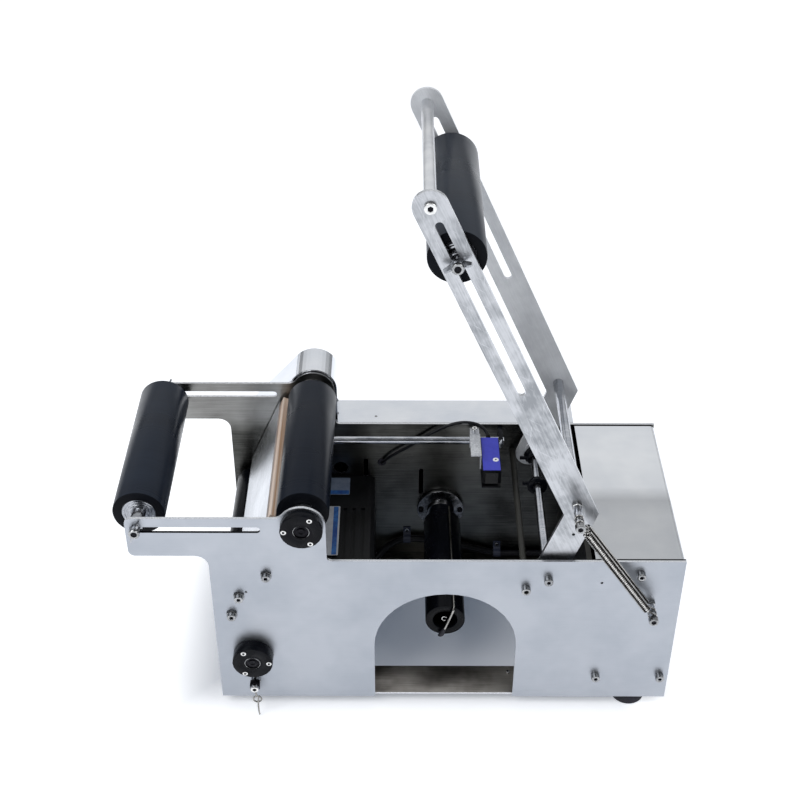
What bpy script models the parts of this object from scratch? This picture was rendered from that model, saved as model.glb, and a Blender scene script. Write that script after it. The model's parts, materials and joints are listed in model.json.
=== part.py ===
"""Bottle labelling machine: an open bench frame of two sheet-metal side plates with a driven
rubber roller, a sliding support roller, a hinged press arm, a label mandrel, a fork sensor
and a backing-paper drive. Metres, +Z up, front towards -Y."""

import math

import bmesh
import bpy
from mathutils import Matrix, Vector

for old in list(bpy.data.objects):
    bpy.data.objects.remove(old, do_unlink=True)

# Clearances
GAP = 0.0003            # between pieces that touch or nest
BORE_GAP = 0.0004       # radial, between a round piece and the hole it passes

# Frame plates: x from the body's left end, y back from the front face, z from the lower edge
SHEET = 0.003           # side plate thickness
BODY_LENGTH = 0.500
BODY_HEIGHT = 0.208
PLATE_SPAN = 0.232      # clear space between the two side plates
ARM_REACH = 0.082       # roller arm beyond the body's left end
ARM_LOW = 0.2153
ARM_HIGH = 0.2665
ARM_END_RADIUS = 0.007
ARM_FILLET = 0.014      # under the roller arm
EAR_FILLET = 0.012      # between the ear and the roller arm
EAR_FOOT_RADIUS = 0.005
TAB_RADIUS = 0.0245     # round ear about the drive shaft
SLOT_WIDTH = 0.0078
SLOT_LEFT = -0.0717     # centre of the slot's left end
SLOT_RIGHT = 0.0531
SLOT_HEIGHT = 0.2513
ARCH_CENTRE = 0.2502
ARCH_RADIUS = 0.0776
ARCH_SPRING = 0.0829
BASE_SHEET = 0.0025
BASE_STRIP = 0.057      # depth of the base in front of its opening
BASE_OPENING_LEFT = 0.078
BASE_OPENING_RIGHT = 0.392
BASE_OPENING_DEPTH = 0.145
BASE_OPENING_RADIUS = 0.010
MOTOR_SLOTS = ((0.1590, 0.1290, 0.1530), (0.2257, 0.1010, 0.1370))
MOTOR_SLOT_HALF = 0.00275
SERVICE_HOLE = (0.1287, 0.1410)
SERVICE_HOLE_RADIUS = 0.009
FIXING_HOLES = ((0.4140, 0.1777), (0.4524, 0.1646), (0.0367, 0.1632))
FIXING_HOLE_RADIUS = 0.0016

# Rollers
ROLLER_RADIUS = 0.0275
ROLLER_LENGTH = 0.198
ROLLER_CHAMFER = 0.0008
BEARING_RADIUS = 0.0175
BEARING_WIDTH = 0.011
SHAFT_RADIUS = 0.0075
DRIVE_X = 0.0995
DRIVE_Z = 0.257
DRIVE_FRONT = 0.020     # y of the drive roller's front face
SUPPORT_FRONT = 0.026
PRESS_FRONT = 0.017
AXLE_SCREW = 0.0036     # radius of the screw that clamps a roller axle in its slot
ROLLER_BORE = 0.0120
WING_HUB = 0.0062
WING_HEIGHT = 0.0085    # hub of a wing screw, along its axis
WING_REACH = 0.0135
WING_TIP = 0.0125       # how far the wings rise from the plate
WING_SHEET = 0.0022
SUPPORT_WING_LEAN = 67  # wing directions, degrees from +X towards +Z
PRESS_WING_LEAN = 17

# Bearing housings
HOUSING_RADIUS = 0.0222
HOUSING_SPIGOT = 0.0165
DRIVE_HOUSING = 0.010   # how far each housing stands out of the plate
TRACTION_HOUSING = 0.018
TRACTION_HOUSING_BACK = 0.010
HOUSING_RECESS = 0.0110
HOUSING_RECESS_DEPTH = 0.002
COLLAR_RADIUS = 0.0135
COLLAR_WIDTH = 0.011
COLLAR_FRONT = 0.0070

# Backing-paper drive
TRACTION_X = 0.0389
TRACTION_Z = 0.0676
TRACTION_RADIUS = 0.0220
PINCH_DROP = 0.0396     # pinch axle below the traction shaft
PINCH_RADIUS = 0.0172
PINCH_AXLE = 0.0048
PINCH_AXLE_REACH = 0.0155
PINCH_TRAVEL = 0.004
LEAF_SHEET = 0.0010      # leaf spring under the pinch axle's ends
LEAF_WIDTH = 0.0080
FEED_FRONT = 0.0120     # y of the traction roller's front face
FEED_BACK = 0.2260
PINCH_FRONT = 0.0240
PINCH_BACK = 0.2140
GUIDE_ROLLER_FRONT = 0.008
GUIDE_ROLLER_BACK = 0.228
GUIDE_X = 0.0194
GUIDE_Z = 0.1302
GUIDE_RADIUS = 0.0150
GUIDE_AXLE = 0.0045

# Peel plate
PEEL_SHEET = 0.0015
PEEL_FRONT = 0.025
PEEL_BACK = 0.232
BAR_BACK = 0.230
PEEL_TOP = (0.0610, 0.2440)
BAR_WIDTH = 0.0065
BAR_DEPTH = 0.0150
BAR_RISE = 0.0080       # bar above the sheet's edge
ROD_RADIUS = 0.0045
PEEL_ROD = (0.0594, 0.1882)
HEM_ROD = (0.0288, 0.1572)
BOX_RODS = ((0.4539, 0.1909), (0.4189, 0.0353), (0.4905, 0.0353))

# Press arm: a cranked pair of flat bars on the pivot rod
ARM_SHEET = 0.004
ARM_WIDTH = 0.033
ARM_FRONT = 0.008       # y of the front bar's outer face
ARM_BACK = 0.221        # y of the back bar's inner face
PIVOT = (0.3570, 0.1835)
ARM_TOP = (0.2263, 0.6210)
ARM_KNEE = (0.3861, 0.2668)
PIVOT_ROD = 0.0050
STOP_ROD = (0.3341, 0.1701)
STOP_RADIUS = 0.0035
STOP_GAP = 0.0004       # arm's tail to the stop rod
BUSH_WALL = 0.0030
BUSH_OVERHANG = 0.0012
TIE_ROD = 0.0060
TIE_AT = (0.3805, 0.2790)
ARM_SLOT_START = 0.0200 # slot centre ends, measured down from the handle
ARM_SLOT_END = 0.2192
PRESS_AT = 0.0607       # press roller in the slot, measured down from the handle

# Return springs
SPRING_LOW = (0.4680, 0.1483)
SPRING_PLANES = (-0.0120, -0.0205)
SPRING_RADIUS = 0.0033
SPRING_WIRE = 0.0009
POST_RADIUS = 0.0040
POST_TIP = -0.0285
POST_NECK = 0.0032
HOOK_STEM = 0.0130      # from a post's axis to the coil

# Label supply
MANDREL_X = 0.2500
MANDREL_Z = 0.0800
MANDREL_RADIUS = 0.0195
MANDREL_WALL = 0.0025
MANDREL_FRONT = 0.040
FLANGE_RADIUS = 0.0290
FLANGE_THICK = 0.0060
CLIP_WIRE = 0.0013
GUIDE_COLLARS = (0.1500, 0.2085)
GUIDE_DISC = 0.0115
GUIDE_DISC_WIDTH = 0.0030
GUIDE_HUB = 0.0085
GUIDE_HUB_WIDTH = 0.0090
THUMB_SCREW = 0.0022
THUMB_SCREW_REACH = 0.0080
MANDREL_SPIGOT = 0.0070
MANDREL_DISH = 0.0120   # radius of the dish in the mandrel's end

# Label sensor
SENSOR_ROD = 0.0045
SENSOR_ROD_Y = 0.2155
SENSOR_ROD_Z = 0.1990
SENSOR_ROD_LEFT = 0.105
ROD_BLOCK = 0.0120      # width of the block at the rod's left end
ROD_BLOCK_RIGHT = 0.3155
ROD_BLOCK_THIN = 0.0050
ROD_BLOCK_HALF = 0.0062
SENSOR_LEFT = 0.2935
SENSOR_WIDTH = 0.0215
SENSOR_FRONT = 0.1485
SENSOR_BACK = 0.2100
SENSOR_TOP = 0.2080
SENSOR_HEIGHT = 0.0255
FORK_DEPTH = 0.026
FORK_MOUTH = 0.0044
FORK_Z = 0.1875         # middle of the mouth
BRACKET_WIDTH = 0.0120
BRACKET_FRONT = 0.1700
BRACKET_SHEET = 0.0015
BRACKET_RISE = 0.0050   # top of the bracket above the sensor
BRACKET_DROP = 0.0200
SENSOR_LEAD = 0.0018    # radius of the sensor's lead
SENSOR_LEAD_EXIT = (0.1784, 0.1500)     # where it leaves through the back plate

# Motor
MOTOR_X = 0.1250
MOTOR_Z = 0.0840
MOTOR_FRAME = 0.0900
GEARHEAD_LENGTH = 0.048
MOTOR_LENGTH = 0.1105
MOTOR_FIN = 0.0022
FIN_COUNT = 7
CAP_LENGTH = 0.012
CAP_STEP = 0.0015       # end caps stand proud of the fins' roots
MOTOR_CORNER = 0.008
MOTOR_SHAFT = 0.0060
MOTOR_PILOT = 0.0170
PILOT_DEPTH = 0.0020
MOTOR_LEAD = 0.0040
LEAD_HOLE = 0.0050      # radius of the sensor lead's hole
EDGE_RADIUS = 0.0012    # small rounded edges
LEAD_CLIPS = ((0.2090, 0.0312), (0.3223, 0.0075))   # x and z where the motor lead is clipped
LEAD_Y = 0.2285         # the motor lead's run along the back plate

# Belt drive behind the back plate
GUARD_DEPTH = 0.044
GUARD_SHEET = 0.0015
GUARD_RADIUS = 0.0270
GUARD_LEAN = 48         # slope of the guard's left shoulder, degrees
GUARD_CORNER = 0.004
GUARD_LEFT = 0.006
GUARD_RIGHT = 0.405
GUARD_FLOOR = 0.006
BELT_WIDTH = 0.009
BELT_THICK = 0.0015
DRIVE_PULLEY = 0.0150
MOTOR_PULLEY = 0.0150
FEED_PULLEY = 0.0200
TRACTION_PULLEY = 0.0160
PULLEY_LIP = 0.0020
PULLEY_RIM = 0.0014     # width of a pulley's lip
DRIVE_BELT_Y = 0.2545   # middle planes of the belts
FEED_BELT_Y = 0.2690

# Control box
BOX_LEFT = 0.4055
BOX_SHEET = 0.0015
PARTITION_X = 0.3960
PARTITION_FLANGE = 0.0055
COVER_RADIUS = 0.006
COVER_BACK = 0.2320
BOARD_SHEET = 0.0016
BOARD_STANDOFF = 0.008
BOARD_LOW = (0.0500, 0.0500)    # y and z of the board's lower front corner
BOARD_SIZE = (0.1200, 0.1000)
STANDOFF_INSET = 0.008
STANDOFF_RADIUS = 0.0030
PANEL_X = 0.4530        # middle line of the controls on the back
INLET_Z = 0.0600
INLET_HALF = (0.0135, 0.0100)
INLET_DEPTH = 0.0200
SWITCH_Z = 0.0880
SWITCH_HALF = (0.0062, 0.0107)
SWITCH_DEPTH = 0.0110
PANEL_FLANGE = 0.0030   # flange of a panel part beyond its cut-out
PANEL_WALL = 0.0015
PIN_HALF = (0.0020, 0.0009)
PIN_SPREAD = 0.0070
ROCKER_HALF = (0.0056, 0.0092)
ROCKER_RISE = 0.0060
ROCKER_TILT = 7
KNOB_Z = 0.1480
KNOB_RADIUS = 0.0110
KNOB_DEPTH = 0.0130
KNOB_SHAFT = 0.0030

# Feet and fasteners
FOOT_RADIUS = 0.0165
FOOT_HEIGHT = 0.012
FRONT_FEET = ((0.060, 0.038), (0.461, 0.018))
BACK_FOOT_INSET = 0.030
FOOT_TAPER = 0.0015
CAP_HEAD = 0.0044
CAP_HEIGHT = 0.0062
CAP_HEX = 0.0024
CAP_SHANK = 0.0020
CAP_EDGE = 0.0005

ROUND = 28              # facets on the large rollers
IDLE_ROUND = 22
ROD_ROUND = 16
PIN_ROUND = 12
SCREW_ROUND = 8

BACK_IN = SHEET + PLATE_SPAN            # inner face of the back plate
BACK_OUT = BACK_IN + SHEET
GUARD_BACK = BACK_OUT + GUARD_DEPTH
GUARD_STEP = DRIVE_X + GUARD_RADIUS
ARM_DIR = Vector((ARM_KNEE[0] - ARM_TOP[0], ARM_KNEE[1] - ARM_TOP[1])).normalized()
LEG_DIR = Vector((PIVOT[0] - ARM_KNEE[0], PIVOT[1] - ARM_KNEE[1])).normalized()
ARM_INNER = ARM_FRONT + ARM_SHEET       # inner face of the front bar
PRESS_X = ARM_TOP[0] + ARM_DIR.x * PRESS_AT
PRESS_Z = ARM_TOP[1] + ARM_DIR.y * PRESS_AT
PINCH_Z = TRACTION_Z - PINCH_DROP
SLOT_HALF = SLOT_WIDTH / 2

# The origin is the middle of the footprint of the whole machine, on the floor
X_MIN, X_MAX = SLOT_LEFT - ROLLER_RADIUS, BODY_LENGTH
Y_MIN, Y_MAX = POST_TIP, GUARD_BACK
MACHINE = bpy.data.objects.new("machine_origin", None)
MACHINE.location = (-(X_MIN + X_MAX) / 2, -(Y_MIN + Y_MAX) / 2, FOOT_HEIGHT)
bpy.context.scene.collection.objects.link(MACHINE)


def finish(name, colour, roughness, metallic):
    material = bpy.data.materials.new(name)
    material.use_nodes = True
    shader = material.node_tree.nodes["Principled BSDF"]
    shader.inputs["Base Color"].default_value = (*colour, 1)
    shader.inputs["Roughness"].default_value = roughness
    shader.inputs["Metallic"].default_value = metallic
    return material


STAINLESS = finish("stainless_sheet", (0.62, 0.63, 0.65), 0.28, 1)
CHROME = finish("turned_steel", (0.72, 0.72, 0.72), 0.15, 1)
RUBBER = finish("rubber", (0.030, 0.033, 0.045), 0.55, 0)
BLACK = finish("black_anodised", (0.010, 0.011, 0.016), 0.35, 0.3)
CAST_BLACK = finish("black_paint", (0.016, 0.017, 0.020), 0.45, 0)
PLASTIC = finish("black_plastic", (0.012, 0.012, 0.014), 0.4, 0)
BAKELITE = finish("laminate", (0.60, 0.40, 0.26), 0.5, 0)
BLUE = finish("blue_plastic", (0.045, 0.045, 0.37), 0.4, 0)
CABLE = finish("cable_jacket", (0.008, 0.008, 0.010), 0.5, 0)
BELT = finish("belt_rubber", (0.02, 0.02, 0.02), 0.7, 0)
BOARD = finish("circuit_board", (0.02, 0.18, 0.07), 0.5, 0)
SPRING = finish("spring_steel", (0.55, 0.55, 0.56), 0.22, 1)


# Outlines: lists of (x, z) points


def arc(cx, cz, radius, start, end, steps):
    """Points of a circle's stretch, in degrees from +X towards +Z."""
    angles = [math.radians(start + (end - start) * i / steps) for i in range(steps + 1)]
    return [(cx + radius * math.cos(a), cz + radius * math.sin(a)) for a in angles]


def circle(cx, cz, radius, steps=ROD_ROUND):
    return arc(cx, cz, radius, 0, 360, steps)[:-1]


def rounded(corners):
    """Outline through (x, z, radius) corners, each with a fillet of its radius."""
    points = []
    for i, (x, z, radius) in enumerate(corners):
        here = Vector((x, z))
        if not radius:
            points.append((x, z))
            continue
        before = (Vector(corners[i - 1][:2]) - here).normalized()
        after = (Vector(corners[(i + 1) % len(corners)][:2]) - here).normalized()
        half = before.angle(after) / 2
        centre = here + (before + after).normalized() * (radius / math.sin(half))
        first = here + before * (radius / math.tan(half)) - centre
        sweep = math.degrees(math.pi - 2 * half)
        turn = 1 if before.cross(after) < 0 else -1
        start = math.degrees(math.atan2(first.y, first.x))
        points += arc(*centre, radius, start, start + turn * sweep, max(2, math.ceil(sweep / 22)))
    return points


def box_outline(cx, cz, half_x, half_z, radius=0.0):
    return rounded([(cx - half_x, cz - half_z, radius), (cx + half_x, cz - half_z, radius),
                    (cx + half_x, cz + half_z, radius), (cx - half_x, cz + half_z, radius)])


def slot(start, end, half):
    """Outline of a slot between two centres."""
    a, b = Vector(start), Vector(end)
    lean = math.degrees(math.atan2(b.y - a.y, b.x - a.x))
    return arc(*b, half, lean - 90, lean + 90, 6) + arc(*a, half, lean + 90, lean + 270, 6)


def ribbon(path, half):
    """Outline of a strip of sheet that follows an open path, mitred where it bends."""
    left, right = [], []
    for i, point in enumerate(path):
        here = Vector(point)
        before = here - Vector(path[i - 1]) if i else Vector(path[1]) - here
        after = Vector(path[i + 1]) - here if i + 1 < len(path) else before
        normals = [Vector((-d.y, d.x)).normalized() for d in (before, after)]
        across = (normals[0] + normals[1]) / (1 + normals[0].dot(normals[1])) * half
        left.append(tuple(here + across))
        right.append(tuple(here - across))
    return left + right[::-1]


def belt_outline(a, radius_a, b, radius_b, offset):
    """Loop of a belt round two pulleys, at an offset from their rims."""
    reach = Vector(b) - Vector(a)
    lean = math.degrees(math.atan2(reach.y, reach.x))
    open_angle = math.degrees(math.acos((radius_a - radius_b) / reach.length))
    return (arc(*b, radius_b + offset, lean - open_angle, lean + open_angle, 12)
            + arc(*a, radius_a + offset, lean + open_angle, lean + 360 - open_angle, 12))


# Solids: each function adds one closed solid to a shape


def slab(shape, outline, front, back, holes=()):
    """A flat piece: an outline with holes, from y = front to y = back."""
    edges = []
    for loop in (outline, *holes):
        ring = [shape.verts.new((x, front, z)) for x, z in loop]
        edges += [shape.edges.new((ring[i - 1], ring[i])) for i in range(len(ring))]
    filled = bmesh.ops.triangle_fill(shape, use_beauty=True, edges=edges, normal=(0, -1, 0))["geom"]
    faces = [g for g in filled if isinstance(g, bmesh.types.BMFace)]
    grown = bmesh.ops.extrude_face_region(shape, geom=faces, use_keep_orig=True)["geom"]
    moved = [g for g in grown if isinstance(g, bmesh.types.BMVert)]
    bmesh.ops.translate(shape, verts=moved, vec=(0, back - front, 0))


def walls(shape, rings):
    """Quads between rings of equally many points."""
    for a, b in zip(rings, rings[1:]):
        for i in range(len(a)):
            shape.faces.new((a[i - 1], a[i], b[i], b[i - 1]))


def ring_at(shape, outline, y):
    return [shape.verts.new((x, y, z)) for x, z in outline]


def lid(shape, outer, inner):
    """Flat ring of faces between two rings."""
    edges = []
    for ring in (outer, inner):
        edges += [shape.edges.get((ring[i - 1], ring[i])) for i in range(len(ring))]
    bmesh.ops.triangle_fill(shape, use_beauty=True, edges=edges, normal=(0, -1, 0))


def tray(shape, outline, hollow, mouth, back, floor):
    """A closed-bottomed hollow piece, open at y = mouth."""
    outer = [ring_at(shape, outline, y) for y in (mouth, back)]
    inner = [ring_at(shape, hollow, y) for y in (mouth, floor)]
    walls(shape, outer)
    walls(shape, inner)
    shape.faces.new(outer[1])
    shape.faces.new(inner[1])
    lid(shape, outer[0], inner[0])


def turned(shape, profile, facets=ROUND, centre=(0, 0)):
    """A piece turned about Y: (radius, y) points, from axis to axis or a closed ring."""
    ring = [shape.verts.new((centre[0] + r, y, centre[1])) for r, y in profile]
    edges = [shape.edges.new((ring[i], ring[i + 1])) for i in range(len(ring) - 1)]
    if profile[0][0] > 0:
        edges.append(shape.edges.new((ring[-1], ring[0])))
    bmesh.ops.spin(
        shape, geom=ring + edges, cent=(centre[0], 0, centre[1]), axis=(0, 1, 0),
        angle=2 * math.pi, steps=facets, use_duplicate=False)
    bmesh.ops.remove_doubles(shape, verts=shape.verts, dist=1e-6)


def lathe(shape, levels, facets, centre=(0, 0), sockets=(False, False)):
    """A piece turned about Y through (radius, y) levels, with a hexagon socket in an end or not."""
    rings = [ring_at(shape, circle(*centre, r, facets), y) for r, y in levels]
    walls(shape, rings)
    for end, inward, socket in ((0, 1, sockets[0]), (-1, -1, sockets[1])):
        if not socket:
            shape.faces.new(rings[end])
            continue
        top = levels[end][1]
        wall = [ring_at(shape, circle(*centre, CAP_HEX, 6), y) for y in (top, top + inward * CAP_HEIGHT * 0.55)]
        walls(shape, wall)
        shape.faces.new(wall[1])
        lid(shape, rings[end], wall[0])


def screw_levels(face, out):
    """Cap screw on y = face towards out (-1 front, 1 back), from its top to its shank."""
    seat = face + out * GAP
    top = seat + out * CAP_HEIGHT
    rounding = [(CAP_HEAD - CAP_EDGE, top), (CAP_HEAD, top - out * CAP_EDGE)] if out < 0 else [(CAP_HEAD, top)]
    return [*rounding, (CAP_HEAD, seat), (CAP_SHANK, seat)]


def screwed_rod(shape, centre, radius, front, back, faces, facets=PIN_ROUND):
    """A rod from y = front to back, held at each end by a cap screw on an outer face."""
    levels = [*screw_levels(faces[0], -1), (CAP_SHANK, front), (radius, front), (radius, back), (CAP_SHANK, back),
              *screw_levels(faces[1], 1)[::-1]]
    lathe(shape, levels, facets, centre, (True, False))


def block(shape, low, high):
    size = Vector(high) - Vector(low)
    made = bmesh.ops.create_cube(shape, size=1)["verts"]
    bmesh.ops.scale(shape, verts=made, vec=size)
    bmesh.ops.translate(shape, verts=made, vec=Vector(low) + size / 2)


def turn_all(shape, degrees, axis):
    bmesh.ops.rotate(shape, verts=shape.verts, matrix=Matrix.Rotation(math.radians(degrees), 3, axis))


def along_x(shape):
    """Lays outlines of (y, z) points out along X: a slab from -x2 to -x1 spans x1 to x2."""
    turn_all(shape, 90, "Z")


def lying(shape):
    """Lays outlines of (x, y) points flat: a slab from -z2 to -z1 spans z1 to z2."""
    turn_all(shape, -90, "X")


def mesh_of(name, shape):
    bmesh.ops.remove_doubles(shape, verts=shape.verts, dist=1e-6)
    bmesh.ops.recalc_face_normals(shape, faces=shape.faces)
    mesh = bpy.data.meshes.new(name)
    shape.to_mesh(mesh)
    shape.free()
    return mesh


def united(name, shapes):
    """One closed mesh from overlapping shapes."""
    pieces = [bpy.data.objects.new(name, mesh_of(name, shape)) for shape in shapes]
    for piece in pieces:
        bpy.context.scene.collection.objects.link(piece)
    for other in pieces[1:]:
        join = pieces[0].modifiers.new("join", "BOOLEAN")
        join.operation = "UNION"
        join.object = other
    graph = bpy.context.evaluated_depsgraph_get()
    mesh = bpy.data.meshes.new_from_object(pieces[0].evaluated_get(graph))
    for piece in pieces:
        bpy.data.objects.remove(piece, do_unlink=True)
    return mesh


def place(name, mesh, material, axis=(0, 0)):
    """Adds one named piece with its origin on the axis at (x, z); shades its round faces smooth."""
    mesh.transform(Matrix.Translation((-axis[0], 0, -axis[1])))
    mesh.name = name
    mesh.materials.clear()
    mesh.materials.append(material)
    mesh.shade_smooth()
    mesh.set_sharp_from_angle(angle=math.radians(32))
    piece = bpy.data.objects.new(name, mesh)
    piece.parent = MACHINE
    piece.location = (axis[0], 0, axis[1])
    bpy.context.scene.collection.objects.link(piece)
    return piece


def add(name, shape, material, axis=(0, 0)):
    return place(name, mesh_of(name, shape), material, axis)


def wire(name, route, radius, material, axis=(0, 0), swell=()):
    """A round bar or lead along a route; swell gives each point's thickness where it isn't 1."""
    curve = bpy.data.curves.new(name, "CURVE")
    curve.dimensions = "3D"
    curve.bevel_depth = radius
    curve.bevel_resolution = 2
    curve.use_fill_caps = True
    spline = curve.splines.new("POLY")
    spline.points.add(len(route) - 1)
    for i, (x, y, z) in enumerate(route):
        spline.points[i].co = (x - axis[0], y, z - axis[1], 1)
        spline.points[i].radius = swell[i] if swell else 1
    curve.materials.append(material)
    piece = bpy.data.objects.new(name, curve)
    piece.parent = MACHINE
    piece.location = (axis[0], 0, axis[1])
    bpy.context.scene.collection.objects.link(piece)


def smooth_route(points, spacing):
    """Evenly spaced points on a Catmull-Rom curve through the given ones."""
    knots = [Vector(p) for p in points]
    knots = [knots[0] * 2 - knots[1], *knots, knots[-1] * 2 - knots[-2]]
    dense = []
    for i in range(1, len(knots) - 2):
        p0, p1, p2, p3 = knots[i - 1:i + 3]
        for step in range(20):
            t = step / 20
            dense.append(0.5 * ((2 * p1) + (p2 - p0) * t + (2 * p0 - 5 * p1 + 4 * p2 - p3) * t * t
                                + (3 * p1 - p0 - 3 * p2 + p3) * t ** 3))
    dense.append(knots[-2])
    length = sum((b - a).length for a, b in zip(dense, dense[1:]))
    count = max(2, round(length / spacing))
    result = [dense[0]]
    walked = 0
    for a, b in zip(dense, dense[1:]):
        step = (b - a).length
        target = length * len(result) / count
        while walked + step >= target and len(result) < count:
            result.append(a.lerp(b, (target - walked) / step))
            target = length * len(result) / count
        walked += step
    result.append(dense[-1])
    return result


# Side plates


def plate_outline(bottom):
    """Body, roller arm and the ear round the drive shaft; bottom is the lower edge's points."""
    fillet_z = ARM_HIGH + EAR_FILLET
    fillet_x = DRIVE_X - math.sqrt((TAB_RADIUS + EAR_FILLET) ** 2 - (fillet_z - DRIVE_Z) ** 2)
    meet = math.degrees(math.atan2(fillet_z - DRIVE_Z, fillet_x - DRIVE_X))
    ear = arc(DRIVE_X, DRIVE_Z, TAB_RADIUS, 0, meet, 12)
    ear += arc(fillet_x, fillet_z, EAR_FILLET, meet - 180, -90, 5)[1:]
    return rounded([
        *((x, z, 0) for x, z in bottom),
        (BODY_LENGTH, BODY_HEIGHT, 0), (DRIVE_X + TAB_RADIUS, BODY_HEIGHT, EAR_FOOT_RADIUS),
        *((x, z, 0) for x, z in ear),
        (-ARM_REACH, ARM_HIGH, ARM_END_RADIUS), (-ARM_REACH, ARM_LOW, ARM_END_RADIUS),
        (0, ARM_LOW, ARM_FILLET)])


def screw_hole(centre):
    return circle(*centre, CAP_SHANK + BORE_GAP, SCREW_ROUND)


ROD_SCREWS = (PEEL_ROD, HEM_ROD, (GUIDE_X, GUIDE_Z), STOP_ROD, PIVOT, *BOX_RODS)
SHARED_HOLES = [
    slot((SLOT_LEFT, SLOT_HEIGHT), (SLOT_RIGHT, SLOT_HEIGHT), SLOT_HALF),
    slot((TRACTION_X, PINCH_Z), (TRACTION_X, PINCH_Z - PINCH_TRAVEL), PINCH_AXLE + BORE_GAP),
    circle(DRIVE_X, DRIVE_Z, HOUSING_SPIGOT + BORE_GAP),
    circle(TRACTION_X, TRACTION_Z, HOUSING_SPIGOT + BORE_GAP),
    *(screw_hole(centre) for centre in ROD_SCREWS),
]


def make_front_plate():
    arch = arc(ARCH_CENTRE, ARCH_SPRING, ARCH_RADIUS, 180, 0, 20)
    bottom = [(0, 0), (arch[0][0], 0), *arch, (arch[-1][0], 0), (BODY_LENGTH, 0)]
    holes = SHARED_HOLES + [circle(*at, FIXING_HOLE_RADIUS, 8) for at in FIXING_HOLES]
    holes.append(screw_hole(SPRING_LOW))
    shape = bmesh.new()
    slab(shape, plate_outline(bottom), 0, SHEET, holes)
    add("front_plate", shape, STAINLESS)


def make_back_plate():
    """Back plate with the two bearing housings that are riveted to it, behind the guard."""
    inner = HOUSING_SPIGOT - SHEET
    holes = [*SHARED_HOLES[:2], *SHARED_HOLES[4:]]
    holes += [circle(*at, inner, PIN_ROUND) for at in ((DRIVE_X, DRIVE_Z), (TRACTION_X, TRACTION_Z))]
    holes += [slot((x, low), (x, high), MOTOR_SLOT_HALF) for x, low, high in MOTOR_SLOTS]
    holes.append(circle(*SERVICE_HOLE, SERVICE_HOLE_RADIUS, PIN_ROUND))
    holes.append(circle(MOTOR_X, MOTOR_Z, MOTOR_PILOT + BORE_GAP))
    holes.append(circle(*SENSOR_LEAD_EXIT, LEAD_HOLE, PIN_ROUND))
    holes.append(box_outline(PANEL_X, INLET_Z, *[h + PANEL_WALL + BORE_GAP for h in INLET_HALF]))
    holes.append(box_outline(PANEL_X, SWITCH_Z, *[h + PANEL_WALL + BORE_GAP for h in SWITCH_HALF]))
    holes.append(circle(PANEL_X, KNOB_Z, KNOB_SHAFT + BORE_GAP, SCREW_ROUND))
    shape = bmesh.new()
    slab(shape, plate_outline([(0, 0), (BODY_LENGTH, 0)]), BACK_IN, BACK_OUT, holes)
    shapes = [shape]
    for centre, height in (((DRIVE_X, DRIVE_Z), DRIVE_HOUSING), ((TRACTION_X, TRACTION_Z), TRACTION_HOUSING_BACK)):
        housing = bmesh.new()
        inner_end, outer_end, seat = BACK_IN - GAP, BACK_OUT + height, BACK_OUT - 2 * GAP
        bore = SHAFT_RADIUS + BORE_GAP
        turned(housing, [(bore, inner_end), (HOUSING_SPIGOT, inner_end), (HOUSING_SPIGOT, seat),
                         (HOUSING_RADIUS, seat), (HOUSING_RADIUS, outer_end), (bore, outer_end)], PIN_ROUND, centre)
        shapes.append(housing)
    place("back_plate", united("back_plate", shapes), STAINLESS)


def make_base():
    middle_x = (BASE_OPENING_LEFT + BASE_OPENING_RIGHT) / 2
    half_x = (BASE_OPENING_RIGHT - BASE_OPENING_LEFT) / 2
    opening = box_outline(middle_x, BASE_STRIP + BASE_OPENING_DEPTH / 2, half_x, BASE_OPENING_DEPTH / 2,
                          BASE_OPENING_RADIUS)
    edge = [(0, SHEET + GAP), (BODY_LENGTH, SHEET + GAP), (BODY_LENGTH, BACK_IN - GAP), (0, BACK_IN - GAP)]
    shape = bmesh.new()
    slab(shape, edge, -BASE_SHEET, 0, [opening])
    lying(shape)
    add("base_plate", shape, STAINLESS)
    back_y = BACK_IN - BACK_FOOT_INSET
    for side, (x, front_y) in zip(("left", "right"), FRONT_FEET):
        for end, y in (("front", front_y), ("back", back_y)):
            foot = bmesh.new()
            lathe(foot, [(FOOT_RADIUS, GAP), (FOOT_RADIUS - FOOT_TAPER, FOOT_HEIGHT - FOOT_TAPER),
                         (FOOT_RADIUS - 2 * FOOT_TAPER, FOOT_HEIGHT)], ROD_ROUND, (x, y))
            lying(foot)
            add(f"foot_{end}_{side}", foot, RUBBER)


# Rods, screws and bearing housings


def make_rods():
    """Rods that tie the side plates together, each with its two cap screws."""
    for name, centre, radius in (
            ("peel_rod", PEEL_ROD, ROD_RADIUS), ("hem_rod", HEM_ROD, ROD_RADIUS),
            ("box_rod_top", BOX_RODS[0], ROD_RADIUS), ("box_rod_left", BOX_RODS[1], ROD_RADIUS),
            ("box_rod_right", BOX_RODS[2], ROD_RADIUS), ("stop_rod", STOP_ROD, STOP_RADIUS),
            ("guide_axle", (GUIDE_X, GUIDE_Z), GUIDE_AXLE), ("pivot_rod", PIVOT, PIVOT_ROD)):
        shape = bmesh.new()
        screwed_rod(shape, centre, radius, SHEET + GAP, BACK_IN - GAP, (0, BACK_OUT))
        add(name, shape, CHROME)


def housing_profile(height):
    """Flanged bearing housing on the front plate, dished round the shaft's end."""
    bore = SHAFT_RADIUS + BORE_GAP
    return [(bore, -height + HOUSING_RECESS_DEPTH), (HOUSING_RECESS, -height + HOUSING_RECESS_DEPTH),
            (HOUSING_RECESS, -height), (HOUSING_RADIUS - CAP_EDGE, -height),
            (HOUSING_RADIUS, -height + CAP_EDGE), (HOUSING_RADIUS, -GAP), (HOUSING_SPIGOT, -GAP),
            (HOUSING_SPIGOT, SHEET + GAP), (bore, SHEET + GAP)]


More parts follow.
